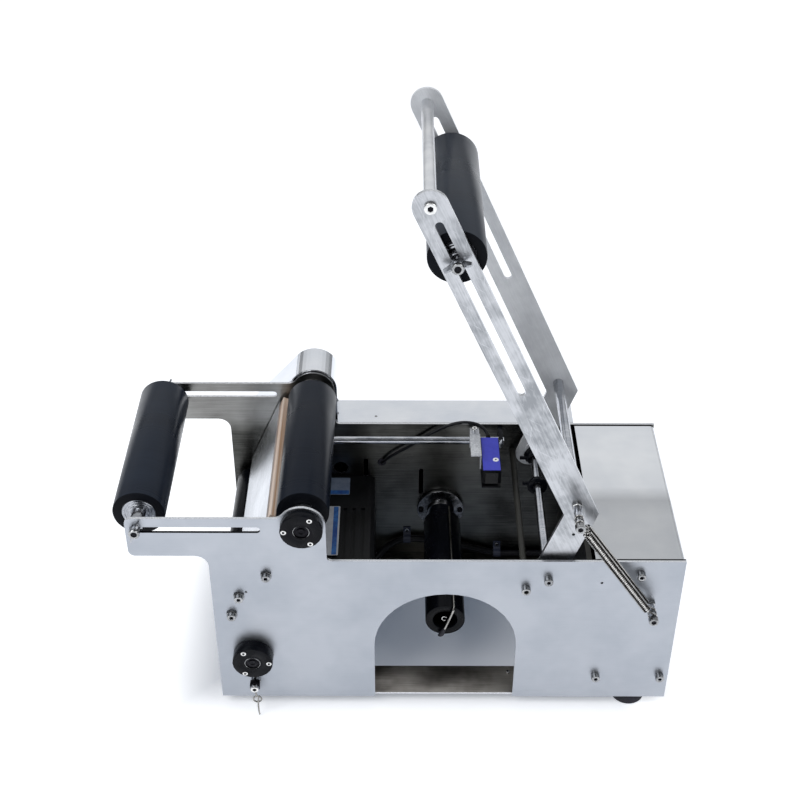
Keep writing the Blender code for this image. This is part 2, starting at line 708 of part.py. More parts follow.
def make_housings():
    for name, centre, height in (("drive_housing", (DRIVE_X, DRIVE_Z), DRIVE_HOUSING),
                                 ("traction_housing", (TRACTION_X, TRACTION_Z), TRACTION_HOUSING)):
        shape = bmesh.new()
        turned(shape, housing_profile(height), IDLE_ROUND, centre)
        add(name, shape, BLACK)


# Rollers


def roller(shape, radius, bore, front, back, facets=ROUND, seat=0.0, depth=0.0):
    """Rubber-covered roller; seat and depth are the bearing pockets in its ends."""
    edge = ROLLER_CHAMFER
    outside = [(radius - edge, front), (radius, front + edge), (radius, back - edge), (radius - edge, back)]
    if seat:
        inside = [(seat, back), (seat, back - depth), (bore, back - depth),
                  (bore, front + depth), (seat, front + depth), (seat, front)]
    else:
        inside = [(bore, back), (bore, front)]
    turned(shape, outside + inside, facets)


def pulley(radius, middle, shaft):
    """Levels of a flanged pulley on a shaft."""
    half = BELT_WIDTH / 2 + GAP
    lip = half + PULLEY_RIM
    rim = radius + PULLEY_LIP
    return [(shaft, middle - lip), (rim, middle - lip), (rim, middle - half), (radius, middle - half),
            (radius, middle + half), (rim, middle + half), (rim, middle + lip), (shaft, middle + lip)]


def moved(shape, centre):
    bmesh.ops.translate(shape, verts=shape.verts, vec=(centre[0], 0, centre[1]))


def make_driven_rollers():
    drive, traction = (DRIVE_X, DRIVE_Z), (TRACTION_X, TRACTION_Z)
    shape = bmesh.new()
    roller(shape, ROLLER_RADIUS, SHAFT_RADIUS + BORE_GAP, DRIVE_FRONT, DRIVE_FRONT + ROLLER_LENGTH)
    moved(shape, drive)
    add("drive_roller", shape, RUBBER, drive)
    tail = FEED_BELT_Y + BELT_WIDTH
    collar_back = COLLAR_FRONT + COLLAR_WIDTH
    shape = bmesh.new()
    lathe(shape, [
        (SHAFT_RADIUS, -DRIVE_HOUSING + HOUSING_RECESS_DEPTH), (SHAFT_RADIUS, COLLAR_FRONT),
        (COLLAR_RADIUS, COLLAR_FRONT), (COLLAR_RADIUS, collar_back), (SHAFT_RADIUS, collar_back),
        *pulley(DRIVE_PULLEY, DRIVE_BELT_Y, SHAFT_RADIUS), *pulley(FEED_PULLEY, FEED_BELT_Y, SHAFT_RADIUS),
        (SHAFT_RADIUS, tail)], PIN_ROUND, drive)
    add("drive_shaft", shape, CHROME, drive)
    edge = TRACTION_RADIUS - ROLLER_CHAMFER
    shape = bmesh.new()
    lathe(shape, [
        (SHAFT_RADIUS, -TRACTION_HOUSING + HOUSING_RECESS_DEPTH), (SHAFT_RADIUS, FEED_FRONT), (edge, FEED_FRONT),
        (TRACTION_RADIUS, FEED_FRONT + ROLLER_CHAMFER), (TRACTION_RADIUS, FEED_BACK - ROLLER_CHAMFER),
        (edge, FEED_BACK), (SHAFT_RADIUS, FEED_BACK), *pulley(TRACTION_PULLEY, FEED_BELT_Y, SHAFT_RADIUS),
        (SHAFT_RADIUS, tail)], PIN_ROUND, traction)
    add("traction_roller", shape, RUBBER, traction)


def make_pinch():
    """Idle roller pressed up against the traction roller by a leaf spring under its axle."""
    centre = (TRACTION_X, PINCH_Z)
    end = BACK_OUT + SHEET
    shape = bmesh.new()
    lathe(shape, [(PINCH_AXLE - CAP_EDGE, -PINCH_AXLE_REACH), (PINCH_AXLE, -PINCH_AXLE_REACH + CAP_EDGE),
                  (PINCH_AXLE, end)], ROD_ROUND, centre)
    add("pinch_axle", shape, CHROME, centre)
    shape = bmesh.new()
    roller(shape, PINCH_RADIUS, PINCH_AXLE + BORE_GAP, PINCH_FRONT, PINCH_BACK, IDLE_ROUND)
    moved(shape, centre)
    add("pinch_roller", shape, RUBBER, centre)
    half = LEAF_SHEET / 2
    low, high = BASE_SHEET + GAP + half, PINCH_Z - PINCH_AXLE - GAP - half
    path = []
    for wall, out, roller_end in ((SHEET, 1, PINCH_FRONT), (BACK_IN, -1, PINCH_BACK)):
        tip = wall + out * 2 * LEAF_SHEET
        bend = (wall + roller_end) / 2
        side = [(tip, high), (bend, high), (roller_end - out * 2 * LEAF_SHEET, low + LEAF_SHEET),
                (roller_end + out * LEAF_WIDTH, low)]
        path += side if out > 0 else side[::-1]
    leaf = bmesh.new()
    slab(leaf, ribbon(path, half), -TRACTION_X - LEAF_WIDTH / 2, -TRACTION_X + LEAF_WIDTH / 2)
    along_x(leaf)
    add("pinch_spring", leaf, SPRING)


def make_guide_roller():
    centre = (GUIDE_X, GUIDE_Z)
    shape = bmesh.new()
    roller(shape, GUIDE_RADIUS, GUIDE_AXLE + BORE_GAP, GUIDE_ROLLER_FRONT, GUIDE_ROLLER_BACK, IDLE_ROUND)
    moved(shape, centre)
    add("guide_roller", shape, BLACK, centre)


def wings(seat, out, lean, centre):
    """Two raised wings of a wing screw whose hub stands on y = seat towards out."""
    shapes = []
    for side in (1, -1):
        inner = WING_HUB * 0.45
        outline = rounded([(side * x, seat + out * y, radius) for x, y, radius in (
            (inner, WING_TIP * 0.1, 0), (WING_HUB * 1.15, WING_TIP * 0.1, 0), (WING_REACH, WING_TIP * 0.55, 0.002),
            (WING_REACH * 0.93, WING_TIP, 0.0025), (WING_HUB * 1.3, WING_TIP * 0.85, 0.002),
            (inner, WING_HEIGHT * 0.9, 0))])
        wing = bmesh.new()
        slab(wing, outline, -WING_SHEET / 2, WING_SHEET / 2)
        lying(wing)
        turn_all(wing, -lean, "Y")
        moved(wing, centre)
        shapes.append(wing)
    return shapes


def free_roller(name, centre, front, walls_at, seats, lean):
    """Roller on two bearings; its axle, clamped by a wing screw at each end, is a piece of its own."""
    shape = bmesh.new()
    roller(shape, ROLLER_RADIUS, ROLLER_BORE, front, front + ROLLER_LENGTH, ROUND, BEARING_RADIUS + GAP,
           BEARING_WIDTH + 2 * GAP)
    moved(shape, centre)
    add(f"{name}_roller", shape, RUBBER, centre)
    bearings = []
    for start in (front + GAP, front + ROLLER_LENGTH - GAP - BEARING_WIDTH):
        stop = start + BEARING_WIDTH
        bearings += [(SHAFT_RADIUS, start), (BEARING_RADIUS, start), (BEARING_RADIUS, stop), (SHAFT_RADIUS, stop)]
    axle = bmesh.new()
    lathe(axle, [
        (WING_HUB * 0.8, seats[0] - WING_HEIGHT), (WING_HUB, seats[0]), (AXLE_SCREW, seats[0]),
        (AXLE_SCREW, walls_at[0]), (SHAFT_RADIUS, walls_at[0]), *bearings, (SHAFT_RADIUS, walls_at[1]),
        (AXLE_SCREW, walls_at[1]), (AXLE_SCREW, seats[1]), (WING_HUB, seats[1]),
        (WING_HUB * 0.8, seats[1] + WING_HEIGHT)], PIN_ROUND, centre)
    shapes = [axle, *wings(seats[0], -1, lean, centre), *wings(seats[1], 1, lean, centre)]
    place(f"{name}_axle", united(name, shapes), CHROME, centre)


def make_free_rollers():
    free_roller("support", (SLOT_LEFT, SLOT_HEIGHT), SUPPORT_FRONT, (SHEET + GAP, BACK_IN - GAP),
                (-GAP, BACK_OUT + GAP), SUPPORT_WING_LEAN)
    free_roller("press", (PRESS_X, PRESS_Z), PRESS_FRONT, (ARM_INNER + GAP, ARM_BACK - GAP),
                (ARM_FRONT - GAP, ARM_BACK + ARM_SHEET + GAP), PRESS_WING_LEAN)


# Peel plate


def make_peel():
    """Sheet from its peeling edge down round the hem rod and back under the other rod."""
    top, hem, rod = Vector(PEEL_TOP), Vector(HEM_ROD), Vector(PEEL_ROD)
    wrap = ROD_RADIUS + GAP + PEEL_SHEET / 2
    down = hem - top
    lean = math.atan2(down.y, down.x) - math.asin(wrap / down.length)
    run = Vector((math.cos(lean), math.sin(lean)))
    tail = rod - hem
    tail_lean = math.degrees(math.atan2(tail.y, tail.x))
    start = math.degrees(lean) - 90 + 360
    path = [tuple(top), *arc(*hem, wrap, start, tail_lean - 90 + 360, 12)]
    path.append(tuple(Vector(path[-1]) + tail))
    shape = bmesh.new()
    slab(shape, ribbon(path, PEEL_SHEET / 2), PEEL_FRONT, PEEL_BACK)
    add("peel_plate", shape, STAINLESS)
    side = Vector((-run.y, run.x))
    near = top + side * (PEEL_SHEET / 2 + GAP)
    corners = [near - run * BAR_RISE, near - run * BAR_RISE + side * BAR_WIDTH,
               near + run * (BAR_DEPTH - BAR_RISE) + side * BAR_WIDTH, near + run * (BAR_DEPTH - BAR_RISE)]
    shape = bmesh.new()
    slab(shape, rounded([(*corner, ROLLER_CHAMFER) for corner in corners]), PEEL_FRONT, BAR_BACK)
    add("peel_bar", shape, BAKELITE)


# Press arm


def tail_length():
    """How far the arm's round tail lies beyond the pivot, to rest on the stop rod."""
    away = Vector(PIVOT) - Vector(STOP_ROD)
    reach = ARM_WIDTH / 2 + STOP_RADIUS + STOP_GAP
    along = away.dot(LEG_DIR)
    return -along - math.sqrt(along ** 2 - away.length_squared + reach ** 2)


def arm_outline():
    half = ARM_WIDTH / 2
    top_lean = math.degrees(math.atan2(ARM_DIR.y, ARM_DIR.x))
    leg_lean = math.degrees(math.atan2(LEG_DIR.y, LEG_DIR.x))
    across = Vector((-ARM_DIR.y, ARM_DIR.x)) + Vector((-LEG_DIR.y, LEG_DIR.x))
    mitre = across * (half / (1 + ARM_DIR.dot(LEG_DIR)))
    knee = Vector(ARM_KNEE)
    tail = Vector(PIVOT) + LEG_DIR * tail_length()
    return [*arc(*ARM_TOP, half, top_lean + 90, top_lean + 270, 16), tuple(knee - mitre),
            *arc(*tail, half, leg_lean - 90, leg_lean + 90, 12), tuple(knee + mitre)]


def make_arm():
    """Two bars, each with its bush on the pivot rod, joined by the handle and the tie rod."""
    bush = PIVOT_ROD + BORE_GAP + BUSH_WALL
    slot_ends = [tuple(Vector(ARM_TOP) + ARM_DIR * s) for s in (ARM_SLOT_START, ARM_SLOT_END)]
    holes = [slot(*slot_ends, AXLE_SCREW + BORE_GAP), circle(*PIVOT, bush - GAP),
             screw_hole(ARM_TOP), screw_hole(TIE_AT)]
    for name, front in (("front_arm", ARM_FRONT), ("back_arm", ARM_BACK)):
        bar = bmesh.new()
        slab(bar, arm_outline(), front, front + ARM_SHEET, holes)
        sleeve = bmesh.new()
        ends = (front - BUSH_OVERHANG, front + ARM_SHEET + BUSH_OVERHANG)
        turned(sleeve, [(PIVOT_ROD + BORE_GAP, ends[0]), (bush, ends[0]), (bush, ends[1]),
                        (PIVOT_ROD + BORE_GAP, ends[1])], PIN_ROUND, PIVOT)
        place(name, united(name, [bar, sleeve]), STAINLESS, PIVOT)
    inside = (ARM_INNER + GAP, ARM_BACK - GAP)
    outside = ARM_BACK + ARM_SHEET
    handle = bmesh.new()
    screwed_rod(handle, ARM_TOP, TIE_ROD, *inside, (ARM_FRONT, outside))
    add("handle_bar", handle, CHROME, PIVOT)
    tie = bmesh.new()
    lathe(tie, [*post_levels(ARM_FRONT), (CAP_SHANK, inside[0]), (TIE_ROD, inside[0]), (TIE_ROD, inside[1]),
                (CAP_SHANK, inside[1]), *screw_levels(outside, 1)[::-1]], PIN_ROUND, TIE_AT)
    add("tie_rod", tie, CHROME, PIVOT)


# Return springs


def post_levels(face):
    """Post standing forward of y = face, with a neck for each spring's hook."""
    neck = SPRING_WIRE + 2 * GAP
    levels = [(POST_RADIUS - CAP_EDGE, POST_TIP), (POST_RADIUS, POST_TIP + CAP_EDGE)]
    for y in sorted(SPRING_PLANES):
        levels += [(POST_RADIUS, y - neck), (POST_NECK, y - neck), (POST_NECK, y + neck), (POST_RADIUS, y + neck)]
    return [*levels, (POST_RADIUS, face - GAP), (CAP_SHANK, face - GAP)]


def hook(post, toward, y):
    """Wire round a post's neck, leaving it towards a far point; ends where the coil starts."""
    run = (Vector(toward) - Vector(post)).normalized()
    lean = math.degrees(math.atan2(run.y, run.x))
    loop = POST_NECK + GAP + SPRING_WIRE
    flat = arc(*post, loop, lean - 60, lean - 270, 10)
    start = Vector(post) + run * HOOK_STEM
    flat.append(tuple(Vector(flat[-1]).lerp(start, 0.5) + Vector((-run.y, run.x)) * loop * 0.3))
    flat.append(tuple(start))
    return [(x, y, z) for x, z in flat]


def make_springs():
    post = bmesh.new()
    lathe(post, [*post_levels(0), (CAP_SHANK, 2 * SHEET)], PIN_ROUND, SPRING_LOW)
    add("spring_post", post, CHROME)
    run = (Vector(TIE_AT) - Vector(SPRING_LOW)).normalized()
    coil_start = Vector(SPRING_LOW) + run * HOOK_STEM
    coil_end = Vector(TIE_AT) - run * (HOOK_STEM + 3 * GAP)
    thick = SPRING_RADIUS / SPRING_WIRE
    for side, y in zip(("back", "front"), SPRING_PLANES):
        coil = [coil_start + run * SPRING_WIRE, coil_end - run * SPRING_WIRE, coil_end]
        route = [*hook(SPRING_LOW, TIE_AT, y), *((p.x, y, p.y) for p in coil)]
        swell = [1] * (len(route) - 3) + [thick, thick, 1]
        wire(f"spring_coil_{side}", route, SPRING_WIRE, SPRING, SPRING_LOW, swell)
        wire(f"spring_hook_{side}", hook(TIE_AT, SPRING_LOW, y), SPRING_WIRE, SPRING, TIE_AT)


# Label supply


def make_mandrel():
    centre = (MANDREL_X, MANDREL_Z)
    face = BACK_IN - GAP - FLANGE_THICK
    inner = MANDREL_RADIUS - MANDREL_WALL
    shape = bmesh.new()
    turned(shape, [(0, face - MANDREL_SPIGOT), (inner - BORE_GAP, face - MANDREL_SPIGOT), (inner - BORE_GAP, face),
                   (FLANGE_RADIUS - CAP_EDGE, face), (FLANGE_RADIUS, face + CAP_EDGE),
                   (FLANGE_RADIUS, BACK_IN - GAP), (0, BACK_IN - GAP)], ROD_ROUND, centre)
    add("mandrel_flange", shape, STAINLESS)
    front, back = MANDREL_FRONT, face - GAP
    floor = front + 2 * MANDREL_WALL
    shape = bmesh.new()
    turned(shape, [(0, front + MANDREL_WALL / 2), (MANDREL_DISH, front + MANDREL_WALL / 2), (MANDREL_DISH, front),
                   (MANDREL_RADIUS - ROLLER_CHAMFER, front), (MANDREL_RADIUS, front + ROLLER_CHAMFER),
                   (MANDREL_RADIUS, back), (inner, back), (inner, floor), (0, floor)], IDLE_ROUND, centre)
    add("mandrel_tube", shape, BLACK)
    ride = MANDREL_RADIUS + 3 * GAP + CLIP_WIRE
    x = MANDREL_X + ride * 0.5
    z = MANDREL_Z + ride * math.cos(math.radians(30))
    bend = front - 2 * CLIP_WIRE
    route = smooth_route([
        (x, face - GAP - CLIP_WIRE, z), (x, 0.160, z), (x, 0.100, z), (x, front + 0.006, z),
        (x - 0.0005, bend, z - 0.003), (x - 0.004, bend - 0.001, z - 0.018), (x - 0.009, bend - 0.001, z - 0.033),
        (x - 0.015, bend - 0.001, z - 0.0395), (x - 0.019, bend - 0.001, z - 0.036)], 0.0085)
    wire("mandrel_clip", route, CLIP_WIRE, SPRING)


def make_guide_collars():
    """Label guides that clamp on the pivot rod, each with its thumb screw."""
    bore = PIVOT_ROD + BORE_GAP
    for name, y, side in (("guide_collar_front", GUIDE_COLLARS[0], 1), ("guide_collar_back", GUIDE_COLLARS[1], -1)):
        ring = bmesh.new()
        turned(ring, [(r, y + side * d) for r, d in (
            (bore, 0), (GUIDE_DISC, 0), (GUIDE_DISC, GUIDE_DISC_WIDTH), (GUIDE_HUB, GUIDE_DISC_WIDTH),
            (GUIDE_HUB, GUIDE_HUB_WIDTH), (bore, GUIDE_HUB_WIDTH))], ROD_ROUND, PIVOT)
        screw = bmesh.new()
        inside = bore + BORE_GAP
        lathe(screw, [(THUMB_SCREW, inside), (THUMB_SCREW, GUIDE_HUB + THUMB_SCREW_REACH)], SCREW_ROUND)
        along_x(screw)
        middle = y + side * (GUIDE_DISC_WIDTH + GUIDE_HUB_WIDTH) / 2
        bmesh.ops.translate(screw, verts=screw.verts, vec=(PIVOT[0], middle, PIVOT[1]))
        place(name, united(name, [ring, screw]), BLACK, PIVOT)


# Label sensor


def make_sensor():
    """Fork sensor, its mouth open to the front, and the bracket that rides on the sensor rod."""
    low = SENSOR_TOP - SENSOR_HEIGHT
    throat = SENSOR_FRONT + FORK_DEPTH
    body = bmesh.new()
    slab(body, rounded([
        (SENSOR_BACK, low, EDGE_RADIUS), (SENSOR_BACK, SENSOR_TOP, EDGE_RADIUS),
        (SENSOR_FRONT, SENSOR_TOP, EDGE_RADIUS), (SENSOR_FRONT, FORK_Z + FORK_MOUTH / 2, 0),
        (throat, FORK_Z + FORK_MOUTH / 2, EDGE_RADIUS), (throat, FORK_Z - FORK_MOUTH / 2, EDGE_RADIUS),
        (SENSOR_FRONT, FORK_Z - FORK_MOUTH / 2, 0), (SENSOR_FRONT, low, EDGE_RADIUS)]),
         -SENSOR_LEFT - SENSOR_WIDTH, -SENSOR_LEFT)
    along_x(body)
    add("sensor_body", body, BLUE)
    plate_right = SENSOR_LEFT - GAP
    flange_left = plate_right - BRACKET_WIDTH
    flange_top = SENSOR_TOP + BRACKET_RISE
    half = BRACKET_SHEET / 2
    clamp_front = SENSOR_ROD_Y - ROD_BLOCK_HALF + GAP
    clamp_back = SENSOR_ROD_Y + ROD_BLOCK_HALF - GAP
    clamp_low, clamp_high = SENSOR_ROD_Z - ROD_BLOCK_HALF, flange_top + GAP
    angle = bmesh.new()
    slab(angle, ribbon([(flange_left, flange_top - half), (plate_right - half, flange_top - half),
                        (plate_right - half, flange_top - BRACKET_DROP)], half), BRACKET_FRONT, clamp_front + half)
    clamp = bmesh.new()
    slab(clamp, [(clamp_front, clamp_low), (clamp_back, clamp_low), (clamp_back, clamp_high),
                 (clamp_front, clamp_high)], -plate_right + half, -flange_left - GAP,
         [circle(SENSOR_ROD_Y, SENSOR_ROD_Z, SENSOR_ROD + BORE_GAP)])
    along_x(clamp)
    bolt = bmesh.new()
    lathe(bolt, [(CAP_HEAD, half - flange_top), (CAP_HEAD, -flange_top - half),
                 (CAP_HEAD * 0.7, -flange_top - half), (CAP_HEAD * 0.7, -flange_top - BRACKET_SHEET)],
          PIN_ROUND, (flange_left + BRACKET_WIDTH / 2, SENSOR_ROD_Y - GAP))
    lying(bolt)
    place("sensor_bracket", united("sensor_bracket", [angle, clamp, bolt]), STAINLESS)


def make_sensor_rod():
    """Rod along the machine on two blocks that stand on the back plate."""
    right = ROD_BLOCK_RIGHT + ROD_BLOCK_THIN
    rod = bmesh.new()
    lathe(rod, [(SENSOR_ROD, -right - EDGE_RADIUS), (SENSOR_ROD, -SENSOR_ROD_LEFT)], ROD_ROUND,
          (SENSOR_ROD_Y, SENSOR_ROD_Z))
    shapes = [rod]
    for left, width in ((SENSOR_ROD_LEFT + EDGE_RADIUS, ROD_BLOCK), (ROD_BLOCK_RIGHT, ROD_BLOCK_THIN)):
        stand = bmesh.new()
        slab(stand, [(SENSOR_ROD_Y - ROD_BLOCK_HALF + GAP, SENSOR_ROD_Z - ROD_BLOCK_HALF),
                     (BACK_IN - GAP, SENSOR_ROD_Z - ROD_BLOCK_HALF), (BACK_IN - GAP, SENSOR_ROD_Z + ROD_BLOCK_HALF),
                     (SENSOR_ROD_Y - ROD_BLOCK_HALF + GAP, SENSOR_ROD_Z + ROD_BLOCK_HALF)], -left - width, -left)
        shapes.append(stand)
    for shape in shapes:
        along_x(shape)
    place("sensor_rod", united("sensor_rod", shapes), CHROME)


def make_leads():
    """Sensor lead over the bracket into the back plate; motor lead along it into the control box."""
    hole_x, hole_z = SENSOR_LEAD_EXIT
    route = [(0.3030, SENSOR_BACK + 3 * GAP, 0.2060), (0.3028, 0.2150, 0.2067), (0.2995, 0.2200, 0.2110),
             (0.2920, 0.2245, 0.2150), (0.2819, 0.2265, 0.2168), (0.2703, 0.2275, 0.2160),
             (0.2588, 0.2282, 0.2121), (0.2472, 0.2290, 0.2053), (0.2355, 0.2290, 0.1978),
             (0.2238, 0.2290, 0.1888), (0.2120, 0.2290, 0.1796), (0.2001, 0.2295, 0.1712),
             (0.1890, 0.2298, 0.1630), (0.1818, 0.2310, 0.1555), (hole_x + 0.0008, 0.2335, 0.1512),
             (hole_x, BACK_OUT - SHEET / 2, hole_z), (hole_x, BACK_OUT + SENSOR_LEAD, hole_z)]
    wire("sensor_lead", smooth_route(route, 5 * SENSOR_LEAD), SENSOR_LEAD, CABLE)
    first, second = LEAD_CLIPS
    box_side = PARTITION_X + BOX_SHEET
    route = [(0.1500, 0.1650, MOTOR_Z - MOTOR_FRAME / 2 - 5 * GAP), (0.1502, 0.1672, 0.0270),
             (0.1530, 0.1780, 0.0155), (0.1600, 0.1960, 0.0105), (0.1710, 0.2130, 0.0130), (0.1830, 0.2245, 0.0200),
             (0.1960, LEAD_Y, 0.0272), (first[0], LEAD_Y, first[1]), (0.2310, LEAD_Y, 0.0305),
             (0.2540, LEAD_Y, 0.0265), (0.2780, LEAD_Y, 0.0205), (0.3010, LEAD_Y, 0.0130),
             (second[0], LEAD_Y, second[1]), (0.3450, LEAD_Y, second[1]), (0.3720, LEAD_Y, second[1]),
             (PARTITION_X - GAP, LEAD_Y, second[1]), (box_side + MOTOR_LEAD, LEAD_Y, second[1])]
    wire("motor_lead", smooth_route(route, 4 * MOTOR_LEAD), MOTOR_LEAD, CABLE)


# Motor


def finned_outline(cx, cz):
    """Square motor frame with fins along each side."""
    half = MOTOR_FRAME / 2
    pitch = (MOTOR_FRAME - 2 * MOTOR_CORNER) / FIN_COUNT
    side = []
    for i in range(FIN_COUNT):
        start = -half + MOTOR_CORNER + pitch * i
        side += [(start + pitch * 0.3, half), (start + pitch * 0.3, half - MOTOR_FIN),
                 (start + pitch * 0.7, half - MOTOR_FIN), (start + pitch * 0.7, half)]
    points = []
    for turn in range(4):
        c, s = (1, 0, -1, 0)[turn], (0, -1, 0, 1)[turn]
        corner = (half - MOTOR_CORNER / 2, half)
        run = [(-corner[0], corner[1]), *side, corner]
        points += [(cx + x * c - z * s, cz + x * s + z * c) for x, z in run]
    return points


def make_motor():
    """Gear motor: gearhead on the back plate, a finned motor with an end cap on it."""
    centre = (MOTOR_X, MOTOR_Z)
    half = MOTOR_FRAME / 2
    back = BACK_IN - GAP
    joint = back - GEARHEAD_LENGTH
    front = joint - MOTOR_LENGTH
    overlap = 2 * GAP
    gearhead = bmesh.new()
    slab(gearhead, box_outline(*centre, half, half, MOTOR_CORNER), joint - CAP_LENGTH, back)
    stator = bmesh.new()
    slab(stator, finned_outline(*centre), front + CAP_LENGTH - overlap, joint - CAP_LENGTH + overlap)
    cap = bmesh.new()
    slab(cap, box_outline(*centre, half + CAP_STEP, half + CAP_STEP, MOTOR_CORNER), front, front + CAP_LENGTH)
    place("gear_motor", united("gear_motor", [gearhead, stator, cap]), CAST_BLACK)
    tail = DRIVE_BELT_Y + BELT_WIDTH
    pilot = MOTOR_PILOT - BORE_GAP
    shaft = bmesh.new()
    lathe(shaft, [(pilot, back + GAP), (pilot, back + PILOT_DEPTH), (MOTOR_SHAFT, back + PILOT_DEPTH),
                  *pulley(MOTOR_PULLEY, DRIVE_BELT_Y, MOTOR_SHAFT), (MOTOR_SHAFT, tail)], PIN_ROUND, centre)
    add("motor_shaft", shaft, CHROME, centre)


# Belt drive and its guard


def make_belts():
    motor, drive, feed = (MOTOR_X, MOTOR_Z), (DRIVE_X, DRIVE_Z), (TRACTION_X, TRACTION_Z)
    for name, a, radius_a, b, radius_b, middle in (
            ("drive_belt", motor, MOTOR_PULLEY, drive, DRIVE_PULLEY, DRIVE_BELT_Y),
            ("feed_belt", drive, FEED_PULLEY, feed, TRACTION_PULLEY, FEED_BELT_Y)):
        shape = bmesh.new()
        slab(shape, belt_outline(a, radius_a, b, radius_b, GAP + BELT_THICK),
             middle - BELT_WIDTH / 2, middle + BELT_WIDTH / 2,
             [belt_outline(a, radius_a, b, radius_b, 2 * GAP)])
        add(name, shape, BELT)


def guard_outline(inset):
    """Guard's outline seen from the front, shrunk by an inset."""
    crown = arc(DRIVE_X, DRIVE_Z, GUARD_RADIUS - inset, 0, 90 + GUARD_LEAN, 14)
    left = GUARD_LEFT + inset
    shoulder = crown[-1][1] - (crown[-1][0] - left) * math.tan(math.radians(GUARD_LEAN))
    right, floor, top = GUARD_RIGHT - inset, GUARD_FLOOR + inset, BODY_HEIGHT - inset
    corner = GUARD_CORNER - inset
    return rounded([
        (left, floor, corner), (right, floor, corner), (right, top, 0), (GUARD_STEP - inset, top, 0),
        *((x, z, 0) for x, z in crown), (left, shoulder, corner)])


def make_guard():
    shape = bmesh.new()
    tray(shape, guard_outline(0), guard_outline(GUARD_SHEET), BACK_OUT + GAP, GUARD_BACK, GUARD_BACK - GUARD_SHEET)
    add("belt_guard", shape, STAINLESS)


# Control box


def make_box():
    front, back = SHEET + GAP, BACK_IN - GAP
    floor = BASE_SHEET + GAP
    plate = bmesh.new()
    lead_z = LEAD_CLIPS[1][1]
    slab(plate, [(front, floor), (back, floor), (back, BODY_HEIGHT), (front, BODY_HEIGHT)],
         -PARTITION_X - BOX_SHEET, -PARTITION_X, [circle(LEAD_Y, lead_z, MOTOR_LEAD + BORE_GAP, PIN_ROUND)])
    along_x(plate)
    flange = bmesh.new()
    block(flange, (PARTITION_X + BOX_SHEET / 2, front, BODY_HEIGHT - BOX_SHEET),
          (PARTITION_X + PARTITION_FLANGE, back, BODY_HEIGHT))
    place("partition_plate", united("partition", [plate, flange]), STAINLESS)
    half = BOX_SHEET / 2
    bend = COVER_RADIUS - half
    side_x = BODY_LENGTH - half
    top_z = BODY_HEIGHT - half
    path = [(BOX_LEFT, top_z), *arc(side_x - bend, top_z - bend, bend, 90, 0, 6), (side_x, floor)]
    cover = bmesh.new()
    slab(cover, ribbon(path, half), front, COVER_BACK)
    add("right_cover", cover, STAINLESS)
    board = bmesh.new()
    face = PARTITION_X + BOX_SHEET + GAP
    low = Vector((face + BOARD_STANDOFF, *BOARD_LOW))
    block(board, low, low + Vector((BOARD_SHEET, *BOARD_SIZE)))
    shapes = [board]
    for y in (low.y + STANDOFF_INSET, low.y + BOARD_SIZE[0] - STANDOFF_INSET):
        for z in (low.z + STANDOFF_INSET, low.z + BOARD_SIZE[1] - STANDOFF_INSET):
            post = bmesh.new()
            lathe(post, [(STANDOFF_RADIUS, -low.x - GAP), (STANDOFF_RADIUS, -face)], SCREW_ROUND, (y, z))
            along_x(post)
            shapes.append(post)
    place("control_board", united("control_board", shapes), BOARD)


def panel_box(z, half, depth):
    """Box through a cut-out in the back plate, open to the outside."""
    wall = [h + PANEL_WALL for h in half]
    shape = bmesh.new()
    tray(shape, box_outline(PANEL_X, z, *wall), box_outline(PANEL_X, z, *half),
         BACK_OUT + PANEL_WALL + 2 * GAP, BACK_OUT - depth - PANEL_WALL, BACK_OUT - depth)
    return shape


